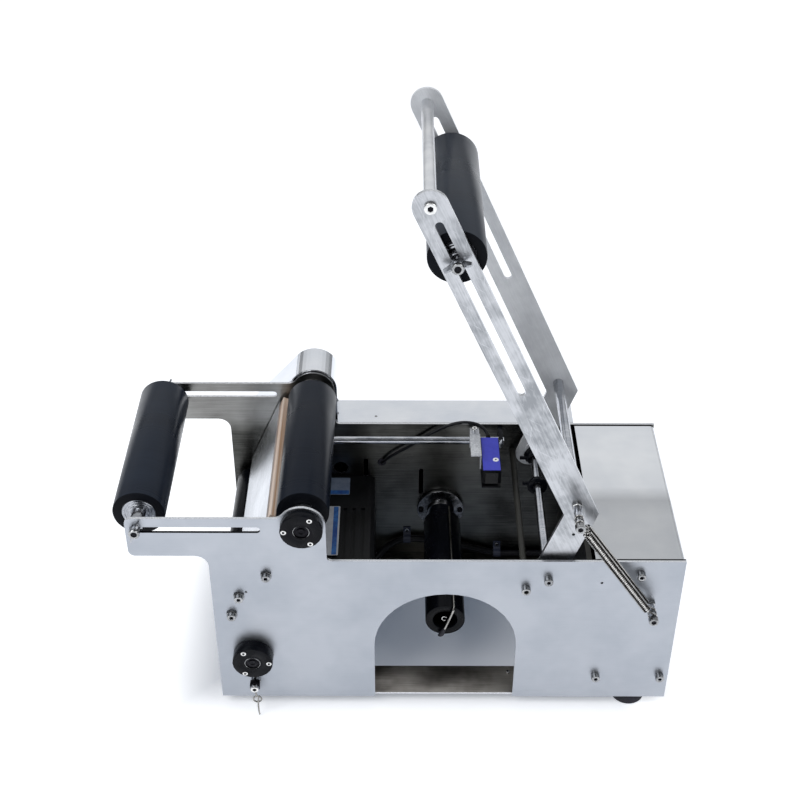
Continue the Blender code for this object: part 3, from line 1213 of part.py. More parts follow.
def make_controls():
    """Inlet and switch in one panel part, its rocker, and the speed knob; all face backwards."""
    boxes = [panel_box(INLET_Z, INLET_HALF, INLET_DEPTH), panel_box(SWITCH_Z, SWITCH_HALF, SWITCH_DEPTH)]
    low = INLET_Z - INLET_HALF[1] - PANEL_WALL - PANEL_FLANGE
    high = SWITCH_Z + SWITCH_HALF[1] + PANEL_WALL + PANEL_FLANGE
    flange = bmesh.new()
    slab(flange, box_outline(PANEL_X, (low + high) / 2, INLET_HALF[0] + PANEL_WALL + PANEL_FLANGE, (high - low) / 2,
                             EDGE_RADIUS), BACK_OUT + GAP, BACK_OUT + GAP + PANEL_WALL,
         [box_outline(PANEL_X, z, half[0] + GAP, half[1] + GAP)
          for z, half in ((INLET_Z, INLET_HALF), (SWITCH_Z, SWITCH_HALF))])
    pins = []
    floor = BACK_OUT - INLET_DEPTH - PANEL_WALL / 2
    for x, z in ((-PIN_SPREAD, -0.002), (0, 0.004), (PIN_SPREAD, -0.002)):
        pin = bmesh.new()
        block(pin, (PANEL_X + x - PIN_HALF[1], floor, INLET_Z + z - PIN_HALF[0]),
              (PANEL_X + x + PIN_HALF[1], BACK_OUT - PANEL_WALL, INLET_Z + z + PIN_HALF[0]))
        pins.append(pin)
    place("power_inlet", united("power_inlet", [*boxes, flange, *pins]), PLASTIC)
    half_x, half_z = ROCKER_HALF
    rocker = bmesh.new()
    slab(rocker, [(-ROCKER_RISE, -half_z * 0.8), (ROCKER_RISE, -half_z), (ROCKER_RISE * 0.6, 0),
                  (ROCKER_RISE, half_z), (-ROCKER_RISE, half_z * 0.8)], -half_x, half_x)
    along_x(rocker)
    turn_all(rocker, ROCKER_TILT, "X")
    moved(rocker, (PANEL_X, SWITCH_Z))
    switch = add("power_rocker", rocker, PLASTIC, (PANEL_X, SWITCH_Z))
    switch.location.y = BACK_OUT - ROCKER_RISE / 3
    knob = bmesh.new()
    face = BACK_OUT + GAP
    lathe(knob, [(KNOB_SHAFT, BACK_IN - KNOB_DEPTH), (KNOB_SHAFT, face), (KNOB_RADIUS, face),
                 (KNOB_RADIUS * 0.88, face + KNOB_DEPTH - CAP_EDGE),
                 (KNOB_RADIUS * 0.88 - CAP_EDGE, face + KNOB_DEPTH)], ROD_ROUND, (PANEL_X, KNOB_Z))
    add("speed_knob", knob, PLASTIC, (PANEL_X, KNOB_Z))


make_front_plate()
make_back_plate()
make_base()
make_rods()
make_housings()
make_driven_rollers()
make_pinch()
make_guide_roller()
make_free_rollers()
make_peel()
make_arm()
make_springs()
make_mandrel()
make_guide_collars()
make_sensor()
make_sensor_rod()
make_leads()
make_motor()
make_belts()
make_guard()
make_box()
make_controls()
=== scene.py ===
"""Bottle labelling machine: finishes, detailed pieces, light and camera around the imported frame."""
import math
from functools import partial

import bmesh
import bpy
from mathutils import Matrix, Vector
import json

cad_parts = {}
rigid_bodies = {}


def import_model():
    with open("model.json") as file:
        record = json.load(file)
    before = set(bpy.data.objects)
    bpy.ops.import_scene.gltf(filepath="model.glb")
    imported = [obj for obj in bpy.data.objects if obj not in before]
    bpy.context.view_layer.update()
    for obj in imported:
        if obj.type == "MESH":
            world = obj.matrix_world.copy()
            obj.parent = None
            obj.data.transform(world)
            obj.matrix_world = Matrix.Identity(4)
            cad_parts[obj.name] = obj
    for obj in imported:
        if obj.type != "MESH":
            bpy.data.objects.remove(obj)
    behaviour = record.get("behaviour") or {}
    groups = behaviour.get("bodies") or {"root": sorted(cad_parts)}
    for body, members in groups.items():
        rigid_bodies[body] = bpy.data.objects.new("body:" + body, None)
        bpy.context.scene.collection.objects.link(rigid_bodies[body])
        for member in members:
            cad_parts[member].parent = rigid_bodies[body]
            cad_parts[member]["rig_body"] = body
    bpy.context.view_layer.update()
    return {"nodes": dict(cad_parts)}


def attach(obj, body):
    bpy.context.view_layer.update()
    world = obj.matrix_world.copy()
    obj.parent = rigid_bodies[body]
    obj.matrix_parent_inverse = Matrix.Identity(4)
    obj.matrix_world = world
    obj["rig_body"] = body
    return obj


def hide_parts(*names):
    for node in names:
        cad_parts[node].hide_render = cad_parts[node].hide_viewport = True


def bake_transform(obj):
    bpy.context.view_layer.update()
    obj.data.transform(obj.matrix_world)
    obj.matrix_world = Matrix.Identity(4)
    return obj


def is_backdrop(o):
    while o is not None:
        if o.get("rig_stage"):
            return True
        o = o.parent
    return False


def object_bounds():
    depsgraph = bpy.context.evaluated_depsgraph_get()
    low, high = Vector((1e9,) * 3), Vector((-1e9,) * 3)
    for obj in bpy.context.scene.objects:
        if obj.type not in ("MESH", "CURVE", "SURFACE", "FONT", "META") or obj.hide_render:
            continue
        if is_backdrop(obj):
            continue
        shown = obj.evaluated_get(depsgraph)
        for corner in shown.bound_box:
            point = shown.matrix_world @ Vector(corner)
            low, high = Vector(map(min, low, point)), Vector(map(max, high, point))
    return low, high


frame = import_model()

NODES = frame["nodes"]

# The machine is drawn in millimetres: x from the body's left end, y back from the front plate's
# face, z up from the plates' lower edge.
MM = 0.001
CORNER = Vector((-0.2004, -0.12675, 0.012))     # that corner in the frame
ALONG_X, ALONG_Y, ALONG_Z = Vector((1, 0, 0)), Vector((0, 1, 0)), Vector((0, 0, 1))

PLATE_BACK = 238.0      # outer face of the back plate
GUARD_BACK = 239.0      # no face of the guard's back wall lies nearer the front
DRIVE = (99.5, 257.0)   # shaft centres, x and z
SUPPORT = (-71.7, 251.3)
PRESS = (251.26, 565.67)
TRACTION = (38.9, 67.6)
MANDREL = (250.0, 80.0)
DRIVE_FRONT, SUPPORT_FRONT, PRESS_FRONT = 20.0, 26.0, 17.0      # y of the rollers' front ends
ROLLER = 27.5           # radius of the rollers
ROLLER_LONG = 198.0
PINCH_TIP = (38.9, -13.0, 28.0)     # front end of the pinch axle
ARM_FRONT = 8.0         # front face of the front arm
MANDREL_FRONT = 40.0
SENSOR_DIAL = (309.5, 168.0, 208.5)
LEAD_LOW_RUN = 7.5      # height of the motor lead where it lies along the base
FEET = {"front_left": (60, 38), "back_left": (60, 205), "front_right": (461, 18), "back_right": (461, 205)}
OPENING_FORWARD = 13.7  # how far the base's opening starts nearer the front than the solid's
# wire that holds the label roll: along the mandrel's top, then down across its end
CLIP_ROUTE = ((259.4, 206.0, 102.6), (259.6, 200.0, 102.7), (260.2, 120.0, 102.5), (260.6, 50.0, 102.4),
              (260.6, 40.5, 102.2), (260.2, 37.4, 100.2), (259.0, 36.4, 96.0), (254.8, 36.2, 82.5),
              (250.3, 36.2, 69.0))
CLIP_TIP = ((250.8, 36.2, 70.6), (248.6, 36.2, 65.4), (246.4, 36.4, 61.6), (243.8, 36.8, 59.4))
TIE = Vector((380.5, 0, 279.0))         # tie rod of the press arm, the springs' upper post
SPRING_LOW = Vector((468.0, 0, 148.3))


def at(x, y, z):
    return CORNER + Vector((x, y, z)) * MM


# ---------------------------------------------------------------- finishes


def linear(code):
    """An sRGB hex colour as the linear colour that a shader takes."""
    parts = [int(code[i:i + 2], 16) / 255 for i in (1, 3, 5)]
    return (*(c / 12.92 if c <= 0.04045 else ((c + 0.055) / 1.055) ** 2.4 for c in parts), 1.0)


def add(tree, kind, *values, out=0, named=None, stops=(), **settings):
    """Adds a node: values fill its first sockets in order, named ones go by name, sockets are linked."""
    node = tree.nodes.new("ShaderNode" + kind)
    for key, value in settings.items():
        setattr(node, key, value)
    for key, value in [*enumerate(values), *(named or {}).items()]:
        if isinstance(value, bpy.types.NodeSocket):
            tree.links.new(value, node.inputs[key])
        else:
            node.inputs[key].default_value = value
    for i, (position, colour) in enumerate(stops):
        stop = node.color_ramp.elements[i] if i < 2 else node.color_ramp.elements.new(position)
        stop.position, stop.color = position, colour
    return node.outputs[out] if node.outputs else node


def begin(name):
    """A new material, the function that adds to it, and the piece's own coordinates."""
    material = bpy.data.materials.new(name)
    material.use_nodes = True
    material.node_tree.nodes.clear()
    n = partial(add, material.node_tree)
    return material, n, n("TexCoord", out="Object")


def end(n, height=None, **shading):
    """Ends a material in its surface shader. height is the relief, in metres."""
    named = {key.replace("_", " "): value for key, value in shading.items()}
    if height:
        named["Normal"] = n("Bump", named={"Height": height, "Distance": 1.0})
    n("OutputMaterial", n("BsdfPrincipled", named=named))


def mottle(n, coords, scale, turn=0.0, detail=3.0, rough=0.55):
    """Uneven mottling with so many cells a metre along each axis, after a turn about Y in degrees."""
    if turn:
        coords = n("Mapping", coords, named={"Rotation": (0, math.radians(turn), 0)})
    scale = scale if isinstance(scale, tuple) else (scale,) * 3
    coords = n("Mapping", coords, named={"Scale": scale})
    return n("TexNoise", coords, named={"Scale": 1.0, "Detail": detail, "Roughness": rough})


def stainless(name, light, dark, edge="#F2F4F8", face=1, grain=(26.0, 900.0, 900.0), turn=0.0,
              rough=(0.26, 0.4), cloud=14.0, lines=0.35, wave=0.00006, shade=None, scratch=0.0,
              bands=None, metal=1.0, slot=None):
    """Cold-rolled stainless sheet, laser-cut and fine-ground. To the eye: a faint grain along the
    sheet, soft clouds where it reflects unevenly, and a cut edge painted bright as a highlight,
    speckled like the laser's melt. face is the axis it lies across, or None for a bent sheet; shade
    is a height band below which painted shade darkens it, as if it reflected only the machine's dark
    inside; scratch is how strongly crossing handling marks show; bands are greys along an axis, a painted
    reflection's dark bands; metal below 1 makes part of the face diffuse; slot is the height of a slot's lower
    wall, painted dark as shade."""
    material, n, coords = begin(name)
    clouds = mottle(n, coords, cloud, rough=0.6)
    # grit scratches are under 0.1 mm apart in truth, drawn 1 mm apart so that they show
    streaks = mottle(n, coords, grain, turn)
    fine = mottle(n, coords, tuple(s * 2.3 for s in grain), turn, 5.0, 0.7)
    tone = n("Math", n("Math", streaks, lines, operation="MULTIPLY"), clouds, operation="ADD")
    if scratch:
        for lean in (31.0, -24.0):
            marks = mottle(n, coords, (30.0, 900.0, 900.0), turn + lean, 4.0, 0.7)
            marks = n("MapRange", marks, 0.6, 0.72, 0.0, scratch)
            tone = n("Math", tone, marks, operation="ADD")
    middle = 0.5 * (1 + lines)
    tone = n("MapRange", tone, middle - 0.16, middle + 0.16, 0.0, 1.0)
    colour = n("MixRGB", tone, linear(dark), linear(light))
    # painted shade: below the height band the sheet darkens to deep and pale greys, as if it reflected only the
    # dark inside
    if shade:
        low, high, deep, pale = shade
        height = n("SeparateXYZ", coords, out="Z")
        height = n("Math", height, n("MapRange", clouds, 0.3, 0.7, -0.012, 0.012), operation="ADD")
        depth = n("MapRange", height, low, high, 1.0, 0.0)
        colour = n("MixRGB", depth, colour, n("MixRGB", tone, linear(deep), linear(pale)))
    # painted reflection: greys along an axis darken the colour in bands
    if bands:
        axis, first, last, greys = bands
        place = n("MapRange", n("SeparateXYZ", coords, out=axis), first, last, 0.0, 1.0)
        greys = n("ValToRGB", place, stops=[(p, (g, g, g, 1.0)) for p, g in greys])
        colour = n("MixRGB", 1.0, colour, greys, blend_type="MULTIPLY")
    if face is not None:
        across = n("SeparateXYZ", n("TexCoord", out="Normal"), out=face)
        cut = n("MapRange", n("Math", across, operation="ABSOLUTE"), 0.25, 0.6, 1.0, 0.0)
        # the cut edge is painted bright, a painted highlight, in droplets of the laser's melt about 1 mm apart
        melt = n("MapRange", mottle(n, coords, 900.0, detail=2.0), 0.4, 0.6, 0.0, 1.0)
        rim = n("MixRGB", melt, n("MixRGB", 0.5, linear(dark), linear(edge)), linear(edge))
        # painted shade: the slot's lower wall is painted near black
        if slot:
            height = n("Math", n("SeparateXYZ", coords, out="Z"), slot, operation="SUBTRACT")
            wall = n("MapRange", n("Math", height, operation="ABSOLUTE"), 0.002, 0.003, 1.0, 0.0)
            rim = n("MixRGB", wall, rim, linear("#141517"))
        colour = n("MixRGB", cut, colour, rim)
    gloss = n("MapRange", n("Math", fine, n("Math", clouds, 0.6, operation="MULTIPLY"), operation="ADD"),
              0.5, 1.1, *rough)
    height = n("Math", n("Math", mottle(n, coords, 9.0, detail=1.0), wave, operation="MULTIPLY"),
               n("Math", fine, 0.0000025, operation="MULTIPLY"), operation="ADD")
    end(n, height, Base_Color=colour, Metallic=metal, Roughness=gloss)
    return material


def steel(name, tone, dark, rough=0.14, rings=(60.0, 1400.0, 60.0), depth=0.0000015):
    """Turned or drawn bright steel: fine rings round it from the tool, smears of handling, a hard
    narrow highlight."""
    material, n, coords = begin(name)
    cut = mottle(n, coords, rings)
    smears = mottle(n, coords, 45.0, rough=0.65)
    tint = n("MapRange", n("Math", cut, smears, operation="ADD"), 0.75, 1.25, 0.0, 1.0)
    end(n, n("Math", cut, depth, operation="MULTIPLY"), Metallic=1.0,
        Base_Color=n("MixRGB", tint, linear(dark), linear(tone)),
        Roughness=n("MapRange", smears, 0.3, 0.7, rough, rough + 0.12))
    return material


def skin(name, tone, dark, rough, grit=1600.0, depth=0.00002, dust=0.25, patch=30.0, **shading):
    """A dielectric surface: a fine grain in its relief, patches of wear, a little dust that dulls it."""
    material, n, coords = begin(name)
    fine = mottle(n, coords, grit, detail=2.0)
    patches = mottle(n, coords, patch, detail=4.0, rough=0.65)
    tint = n("Math", n("Math", fine, dust, operation="MULTIPLY"), patches, operation="ADD")
    tint = n("MapRange", tint, 0.35 + dust / 2, 0.65 + dust / 2, 0.0, 1.0)
    end(n, n("Math", fine, depth, operation="MULTIPLY"),
        Base_Color=n("MixRGB", tint, linear(dark), linear(tone)),
        Roughness=n("MapRange", patches, 0.3, 0.7, rough - 0.05, rough + 0.08), **shading)
    return material


def ground_rubber(name, tone, dark, shine, rough=0.3):
    """Polyurethane roller coating, ground on a lathe: faint rings along it, a broad velvety highlight,
    paler bands where bottles have worn it."""
    material, n, coords = begin(name)
    rings = mottle(n, coords, (8.0, 900.0, 8.0))
    bands = mottle(n, coords, (3.0, 22.0, 3.0), detail=2.0)
    grit = mottle(n, coords, 1300.0, detail=2.0)
    worn = n("Math", n("Math", rings, 0.35, operation="MULTIPLY"),
             n("Math", bands, 0.65, operation="MULTIPLY"), operation="ADD")
    relief = n("Math", n("Math", rings, 0.000006, operation="MULTIPLY"),
               n("Math", grit, 0.00001, operation="MULTIPLY"), operation="ADD")
    end(n, relief,
        Base_Color=n("MixRGB", n("MapRange", worn, 0.35, 0.65, 0.0, 1.0), linear(dark), linear(tone)),
        Roughness=n("MapRange", bands, 0.3, 0.7, rough - 0.06, rough + 0.08), Specular_IOR_Level=shine)
    return material


def coil_wire(name):
    """Hard-drawn wire of a close-wound spring, with painted highlight lines along the coil, dark painted
    lines between them, and painted shade, black, between the turns. The wire carries the lines as an attribute."""
    material, n, coords = begin(name)
    grime = mottle(n, coords, 320.0, rough=0.7)
    painted_highlight_lines = n("Math", n("Attribute", out="Fac", attribute_name="painted_highlight_lines"),
               n("MapRange", grime, 0.3, 0.7, -0.15, 0.15), operation="ADD")
    colour = n("ValToRGB", painted_highlight_lines, stops=[(0.25, linear("#1C1B1A")), (0.5, linear("#8A8885")),
                                          (0.8, linear("#F2F1EF"))])
    # painted shade: the wire turns black where nearby turns occlude it
    crevice_shade = n("AmbientOcclusion", named={"Distance": 0.0016}, out="AO", samples=8)
    colour = n("MixRGB", n("MapRange", crevice_shade, 0.25, 0.75, 0.0, 1.0), linear("#0C0C0C"), colour)
    end(n, n("Math", grime, 0.00001, operation="MULTIPLY"), Base_Color=colour, Metallic=1.0,
        Roughness=n("MapRange", grime, 0.3, 0.7, 0.16, 0.3))
    return material


def laminate(name):
    """Phenolic laminate bar, sawn and sanded: tan plies along its length, in two tones."""
    material, n, coords = begin(name)
    plies = mottle(n, coords, (900.0, 6.0, 900.0), detail=4.0, rough=0.7)
    broad = mottle(n, coords, (320.0, 3.0, 320.0), detail=1.0)
    fibres = mottle(n, coords, (2600.0, 160.0, 2600.0), detail=2.0)
    tone = n("MapRange", n("Math", plies, broad, operation="ADD"), 0.76, 1.2, 0.0, 1.0)
    end(n, n("Math", fibres, 0.00003, operation="MULTIPLY"),
        Base_Color=n("MixRGB", tone, linear("#C9A283"), linear("#F0E2D6")),
        Roughness=n("MapRange", fibres, 0.3, 0.7, 0.42, 0.6))
    return material


def circuit_board(name):
    """Glass-epoxy board under green solder mask, paler where the copper tracks run."""
    material, n, coords = begin(name)
    turned_on = n("Mapping", coords, named={"Rotation": (0, math.radians(90), 0)})
    tracks = n("TexBrick", turned_on, linear("#1D5A38"), linear("#174A2E"), linear("#5E9A6C"),
               named={"Scale": 60.0, "Mortar Size": 0.03})
    stain = mottle(n, coords, 300.0)
    end(n, None, Base_Color=n("MixRGB", n("MapRange", stain, 0.3, 0.8, 0.0, 0.4), tracks, linear("#0F3420")),
        Roughness=n("MapRange", stain, 0.3, 0.7, 0.22, 0.4), Coat_Weight=0.3)
    return material


ARM_TURN = -65.7        # degrees: brings the press arm's length on to X, for its grain
# ground face of the front plate, the palest sheet: the pale floor shows in it; the lower wall of its slot is
# painted dark, a painted shade
FRONT_SHEET = stainless("stainless_front_plate", "#B3B7BE", "#A5AAB2", rough=(0.34, 0.44), lines=0.15,
                        slot=0.2594)
# the back plate's inside: a darker copy of its outside's sheet, painted shade, darker still below the cover's
# height
BACK_SHEET = stainless("stainless_back_plate", "#969694", "#737270", cloud=11.0, rough=(0.24, 0.36),
                       shade=(0.208, 0.232, "#3D3D3B", "#747470"))
# outer faces at the back; the back plate's outside carries none of the painted shade of its inside
BACK_OUTSIDE = stainless("stainless_back_plate_outside", "#BEC1C7", "#A3A6AC", rough=(0.32, 0.44),
                         lines=0.25)
GUARD_OUTSIDE = stainless("stainless_belt_guard_outside", "#C4C7CD", "#A8ABB2", face=None, rough=(0.3, 0.42),
                          lines=0.3)
BASE_SHEET = stainless("stainless_base_plate", "#A39F9A", "#6A6662", face=2, cloud=20.0, rough=(0.36, 0.48))
GUARD_SHEET = stainless("stainless_belt_guard", "#F1F3F7", "#E1E5EC", face=None, rough=(0.12, 0.2),
                        lines=0.2)
# painted reflection: a dark band across the cover's top, greys multiplied into its colour along Y
COVER_SHEET = stainless("stainless_right_cover", "#F5F7FA", "#E8EBF0", face=None, rough=(0.16, 0.24),
                        lines=0.2, bands=(1, -0.125, 0.105, ((0.0, 0.71), (0.3, 0.69), (0.42, 0.62),
                                                             (0.52, 0.97), (0.8, 1.0))))
# ground along the arm and handled most: the deepest grain, with crossing scratches
ARM_SHEET = stainless("stainless_press_arm", "#C3C5C9", "#8F9296", turn=ARM_TURN,
                      grain=(34.0, 600.0, 600.0), rough=(0.28, 0.4), lines=0.5, cloud=30.0, scratch=0.45)
# the back arm: a paler copy of the arm's sheet, part diffuse: painted light
BACK_ARM_SHEET = stainless("stainless_back_arm_painted_light", "#DDE0E4", "#C6C9CE", turn=ARM_TURN,
                           grain=(30.0, 700.0, 700.0), rough=(0.4, 0.5), lines=0.35, cloud=24.0,
                           scratch=0.15, metal=0.35)
PEEL_SHEET = stainless("stainless_peel_plate", "#D9DCE2", "#B4B8BF", face=None, grain=(900.0, 18.0, 900.0),
                       rough=(0.2, 0.3), lines=0.3)
BLASTED_SHEET = stainless("stainless_bead_blasted", "#DADCE0", "#A6A9AF", face=None,
                          grain=(700.0, 700.0, 700.0), rough=(0.34, 0.5), lines=0.9)
# the partition inside the box: a dark copy of the sheet, painted shade
INNER_SHEET = stainless("stainless_partition_painted_shade", "#4A4A48", "#2E2E2D", face=None, rough=(0.4, 0.5))
ROD_STEEL = steel("bright_drawn_rod", "#D8DADF", "#A9ADB5")
CHROME = steel("turned_chrome_steel", "#B4B6BA", "#85888E", 0.1)
HANDLE = steel("polished_handle_bar", "#F3F4F6", "#DFE1E5", 0.34, (60.0, 60.0, 60.0), 0.0)
FLANGE = steel("turned_flange_steel", "#9A9B9E", "#4E4F52", 0.2, (240.0, 900.0, 240.0))
BEARING = steel("ground_bearing_steel", "#BFC1C6", "#7F8389", 0.12, (900.0, 900.0, 900.0))
SCREW_STEEL = steel("screw_steel", "#BCBDBE", "#6E6F71", 0.1, (900.0, 900.0, 900.0))
# oil-blackened screw steel: near black, a dull sheen; the same finish is painted shade on key hole floors, wing
# screw hollows, shaft ends and the press bearings
BLACKENED_AND_SHADE = steel("blackened_steel_and_painted_shade", "#26262A", "#131316", 0.3, (900.0, 900.0, 900.0))
SPRING_WIRE = steel("hard_drawn_spring_wire", "#B5B3AF", "#7A7875", 0.12, (900.0, 900.0, 900.0))
# spring wire with painted highlight lines and painted shade between the turns
COIL_WIRE = coil_wire("coil_spring_wire_painted_highlights")
# zinc-plated and passivated: paler and softer than the bare steel
BRIGHT_ZINC = steel("bright_zinc_plate", "#F4F4F3", "#D5D5D4", 0.24, (900.0, 900.0, 900.0))
CORE_METAL = steel("turned_aluminium_core", "#B4B7BD", "#8B8E96", 0.26, (700.0, 700.0, 700.0))
RUBBER = ground_rubber("polyurethane_ground", "#1F2836", "#171E2A", 0.2)
# the drive roller's copy of the coating, darker: painted shade
DRIVE_RUBBER = ground_rubber("polyurethane_ground_painted_shade", "#171E2A", "#111722", 0.16)
# the sleeves' end faces: darker and duller than their rounds
RUBBER_END = skin("polyurethane_cut_end", "#11141B", "#0A0C11", 0.5, 900.0, 0.00002, Specular_IOR_Level=0.08)
# the press roller's copy of the coating, paler: painted light
PRESS_RUBBER = ground_rubber("polyurethane_ground_painted_light", "#2E3540", "#262C36", 0.26)
FOOT_RUBBER = skin("moulded_rubber_foot", "#2B2B37", "#1B1B23", 0.6, 900.0)
# bead-blasted and anodised aluminium: deep blue-black, a broad soft highlight
ANODISED = skin("black_anodised_aluminium", "#0E1017", "#080A0F", 0.24, 2200.0, 0.000008, 0.4,
                Specular_IOR_Level=0.1)
# sprayed enamel on a die-cast motor: fine orange-peel
ENAMEL = skin("motor_enamel_sprayed", "#17181B", "#0C0D0F", 0.42, 420.0, 0.00004, 0.3,
              Specular_IOR_Level=0.25)
# black moulded plastic; the same finish is painted shade on the discs in tapped holes, the ring behind the
# bearings' gaps and the strip in the cover's gap
BLACK_ABS_AND_SHADE = skin("abs_black_moulded_and_painted_shade", "#121317", "#0B0C0F", 0.4, 1800.0, 0.00002, Specular_IOR_Level=0.12)
BLUE_ABS = skin("abs_blue_moulded", "#4248BE", "#373CAC", 0.36, 1600.0, 0.00001, Specular_IOR_Level=0.25)
WINDOW = skin("acrylic_window_dark", "#191A1D", "#111214", 0.14, 500.0, 0.000002, Specular_IOR_Level=0.16)
JACKET = skin("pvc_jacket_extruded", "#191A20", "#101116", 0.38, 700.0, 0.00003, Specular_IOR_Level=0.25)
NYLON = skin("nylon_clip_moulded", "#3C4358", "#2A3044", 0.45, 1400.0, 0.00002)
BELT = skin("neoprene_belt_moulded", "#202124", "#141517", 0.6, 1100.0, 0.00003, 0.5)
WHITE_PAINT = skin("white_dial_printed", "#F2F3F5", "#DFE1E6", 0.4, 900.0, 0.000004)
LABEL_FILM = skin("label_film_white", "#C6C9D0", "#AEB2BA", 0.4, 500.0, 0.000004, 0.3, 60.0)
# the back label: a darker copy of the white film, painted shade
LABEL_SHADE = skin("label_film_painted_shade", "#8390A6", "#6A778E", 0.4, 500.0, 0.000004, 0.3, 60.0)
LABEL_BAND = skin("label_film_blue", "#3C78C0", "#2A4E96", 0.36, 500.0, 0.000004, 0.5, 90.0)
# a dull brown-black rod: painted shade, for the box's dark inside that it shows
SHADED_ROD = skin("dull_rod_painted_shade", "#363633", "#282826", 0.55, 900.0, 0.00001, Specular_IOR_Level=0.3)
LAMINATE = laminate("phenolic_laminate_sanded")
BOARD = circuit_board("epoxy_circuit_board")

for nodes, finish in (
        (("front_plate",), FRONT_SHEET), (("back_plate",), BACK_SHEET), (("belt_guard",), GUARD_SHEET),
        (("right_cover",), COVER_SHEET), (("front_arm",), ARM_SHEET), (("back_arm",), BACK_ARM_SHEET),
        (("peel_plate",), PEEL_SHEET), (("sensor_bracket",), BLASTED_SHEET),
        (("partition_plate",), INNER_SHEET), (("peel_bar",), LAMINATE), (("gear_motor",), ENAMEL),
        (("control_board",), BOARD), (("drive_belt", "feed_belt"), BELT),
        (("power_inlet", "power_rocker"), BLACK_ABS_AND_SHADE), (("motor_shaft",), CHROME)):
    for node in nodes:
        NODES[node].data.materials.clear()
        NODES[node].data.materials.append(finish)
for node, finish, wall in (("back_plate", BACK_OUTSIDE, PLATE_BACK), ("belt_guard", GUARD_OUTSIDE, GUARD_BACK)):
    sheet = NODES[node].data
    sheet.materials.append(finish)
    for face in sheet.polygons:
        if face.normal.y > 0.9 and face.center.y > at(0, wall - 0.5, 0).y:
            face.material_index = 1


# ---------------------------------------------------------------- shapes


def piece(name, shape, finish, body, replaced=(), ease=0.0, sharp=35):
    """Makes a piece from a bmesh, shaded smooth up to the sharp angle, with its edges eased by so
    many millimetres, riding on a body when one is given."""
    mesh = bpy.data.meshes.new(name)
    bmesh.ops.remove_doubles(shape, verts=shape.verts, dist=1e-7)
    bmesh.ops.recalc_face_normals(shape, faces=shape.faces)
    shape.to_mesh(mesh)
    shape.free()
    mesh.materials.append(finish)
    mesh.polygons.foreach_set("use_smooth", [True] * len(mesh.polygons))
    obj = bpy.data.objects.new(name, mesh)
    bpy.context.scene.collection.objects.link(obj)
    if ease:
        bevel = obj.modifiers.new("eased_edges", "BEVEL")
        bevel.width, bevel.segments = ease * MM, 2
        bevel.limit_method, bevel.angle_limit = "ANGLE", math.radians(sharp)
        bevel.harden_normals = True
        bevel.use_clamp_overlap = True
    else:
        mesh.set_sharp_from_angle(angle=math.radians(sharp))
    if body:
        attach(obj, body)
    if replaced:
        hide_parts(*replaced)
    return obj


def eased(node, finish, ease=0.25, sharp=35):
    """A solid of the frame with its facets shaded round and its edges broken."""
    shape = bmesh.new()
    shape.from_mesh(NODES[node].data)
    bmesh.ops.remove_doubles(shape, verts=shape.verts, dist=1e-6)
    bmesh.ops.dissolve_limit(shape, angle_limit=math.radians(0.5), verts=shape.verts, edges=shape.edges)
    return piece(node + "_eased", shape, finish, NODES[node]["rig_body"], (node,), ease, sharp)


def drawn_in(obj, face, share):
    """Shortens what a piece shows in front of a face to a share of its length."""
    y = at(0, face, 0).y
    for vertex in obj.data.vertices:
        if vertex.co.y < y:
            vertex.co.y = y + (vertex.co.y - y) * share


def spin(profile, start, axis=ALONG_Y, steps=72, shape=None):
    """Turns (radius, distance along the axis) pairs, in millimetres, about an axis from a point."""
    shape = shape or bmesh.new()
    turn = axis.to_track_quat("Z", "X").to_matrix()
    rings = []
    for k in range(steps):
        angle = 2 * math.pi * k / steps
        across = Vector((math.cos(angle), math.sin(angle), 0))
        rings.append([shape.verts.new(start + turn @ (across * r + ALONG_Z * d) * MM) for r, d in profile])
    closed = profile[0][0] > 0 and profile[-1][0] > 0
    last = len(profile) - (0 if closed else 1)
    for k in range(steps):
        a, b = rings[k], rings[(k + 1) % steps]
        for i in range(last):
            j = (i + 1) % len(profile)
            corners = [a[i], a[j], b[j], b[i]]
            if profile[i][0] == 0:
                corners.pop(3)
            elif profile[j][0] == 0:
                corners.pop(2)
            shape.faces.new(corners)
    return shape


def skinned(shape, rings, cap_start=True, cap_end=True):
    """Joins rings of points, all of one length, into a skin."""
    rows = [[shape.verts.new(p) for p in ring] for ring in rings]
    count = len(rows[0])
    for a, b in zip(rows, rows[1:]):
        for i in range(count):
            shape.faces.new((a[i], a[(i + 1) % count], b[(i + 1) % count], b[i]))
    if cap_start:
        shape.faces.new(rows[0][::-1])
    if cap_end:
        shape.faces.new(rows[-1])


def socket_screw(shape, point, axis, radius, height, key):
    """Head of a socket screw standing on a face: rolled edge, six-sided key hole. Sizes in mm."""
    turn = axis.to_track_quat("Z", "X").to_matrix()
    steps = 24

    def ring(r, d, six=False):
        points = []
        for k in range(steps):
            angle = math.radians(360 / steps * k)
            side = math.radians((360 / steps * k) % 60 - 30)
            reach = r / math.cos(side) if six else r
            points.append(point + turn @ Vector((reach * math.cos(angle), reach * math.sin(angle), d)) * MM)
        return points
    skinned(shape, [ring(radius, 0), ring(radius, height * 0.8), ring(radius * 0.94, height * 0.95),
                    ring(radius * 0.84, height), ring(key * 1.12, height, True),
                    ring(key, height - 0.15, True), ring(key, height * 0.35, True)])


def smooth_route(points, step):
    """Points along a smooth curve through a route, in millimetres."""
    points = [Vector(p) for p in points]
    route = []
    padded = [points[0] * 2 - points[1], *points, points[-1] * 2 - points[-2]]
    for a, b, c, d in zip(padded, padded[1:], padded[2:], padded[3:]):
        count = max(1, round((c - b).length / step))
        for i in range(count):
            t = i / count
            route.append(0.5 * (2 * b + (c - a) * t + (2 * a - 5 * b + 4 * c - d) * t ** 2
                                + (3 * b - a - 3 * c + d) * t ** 3))
    return [*route, points[-1]]


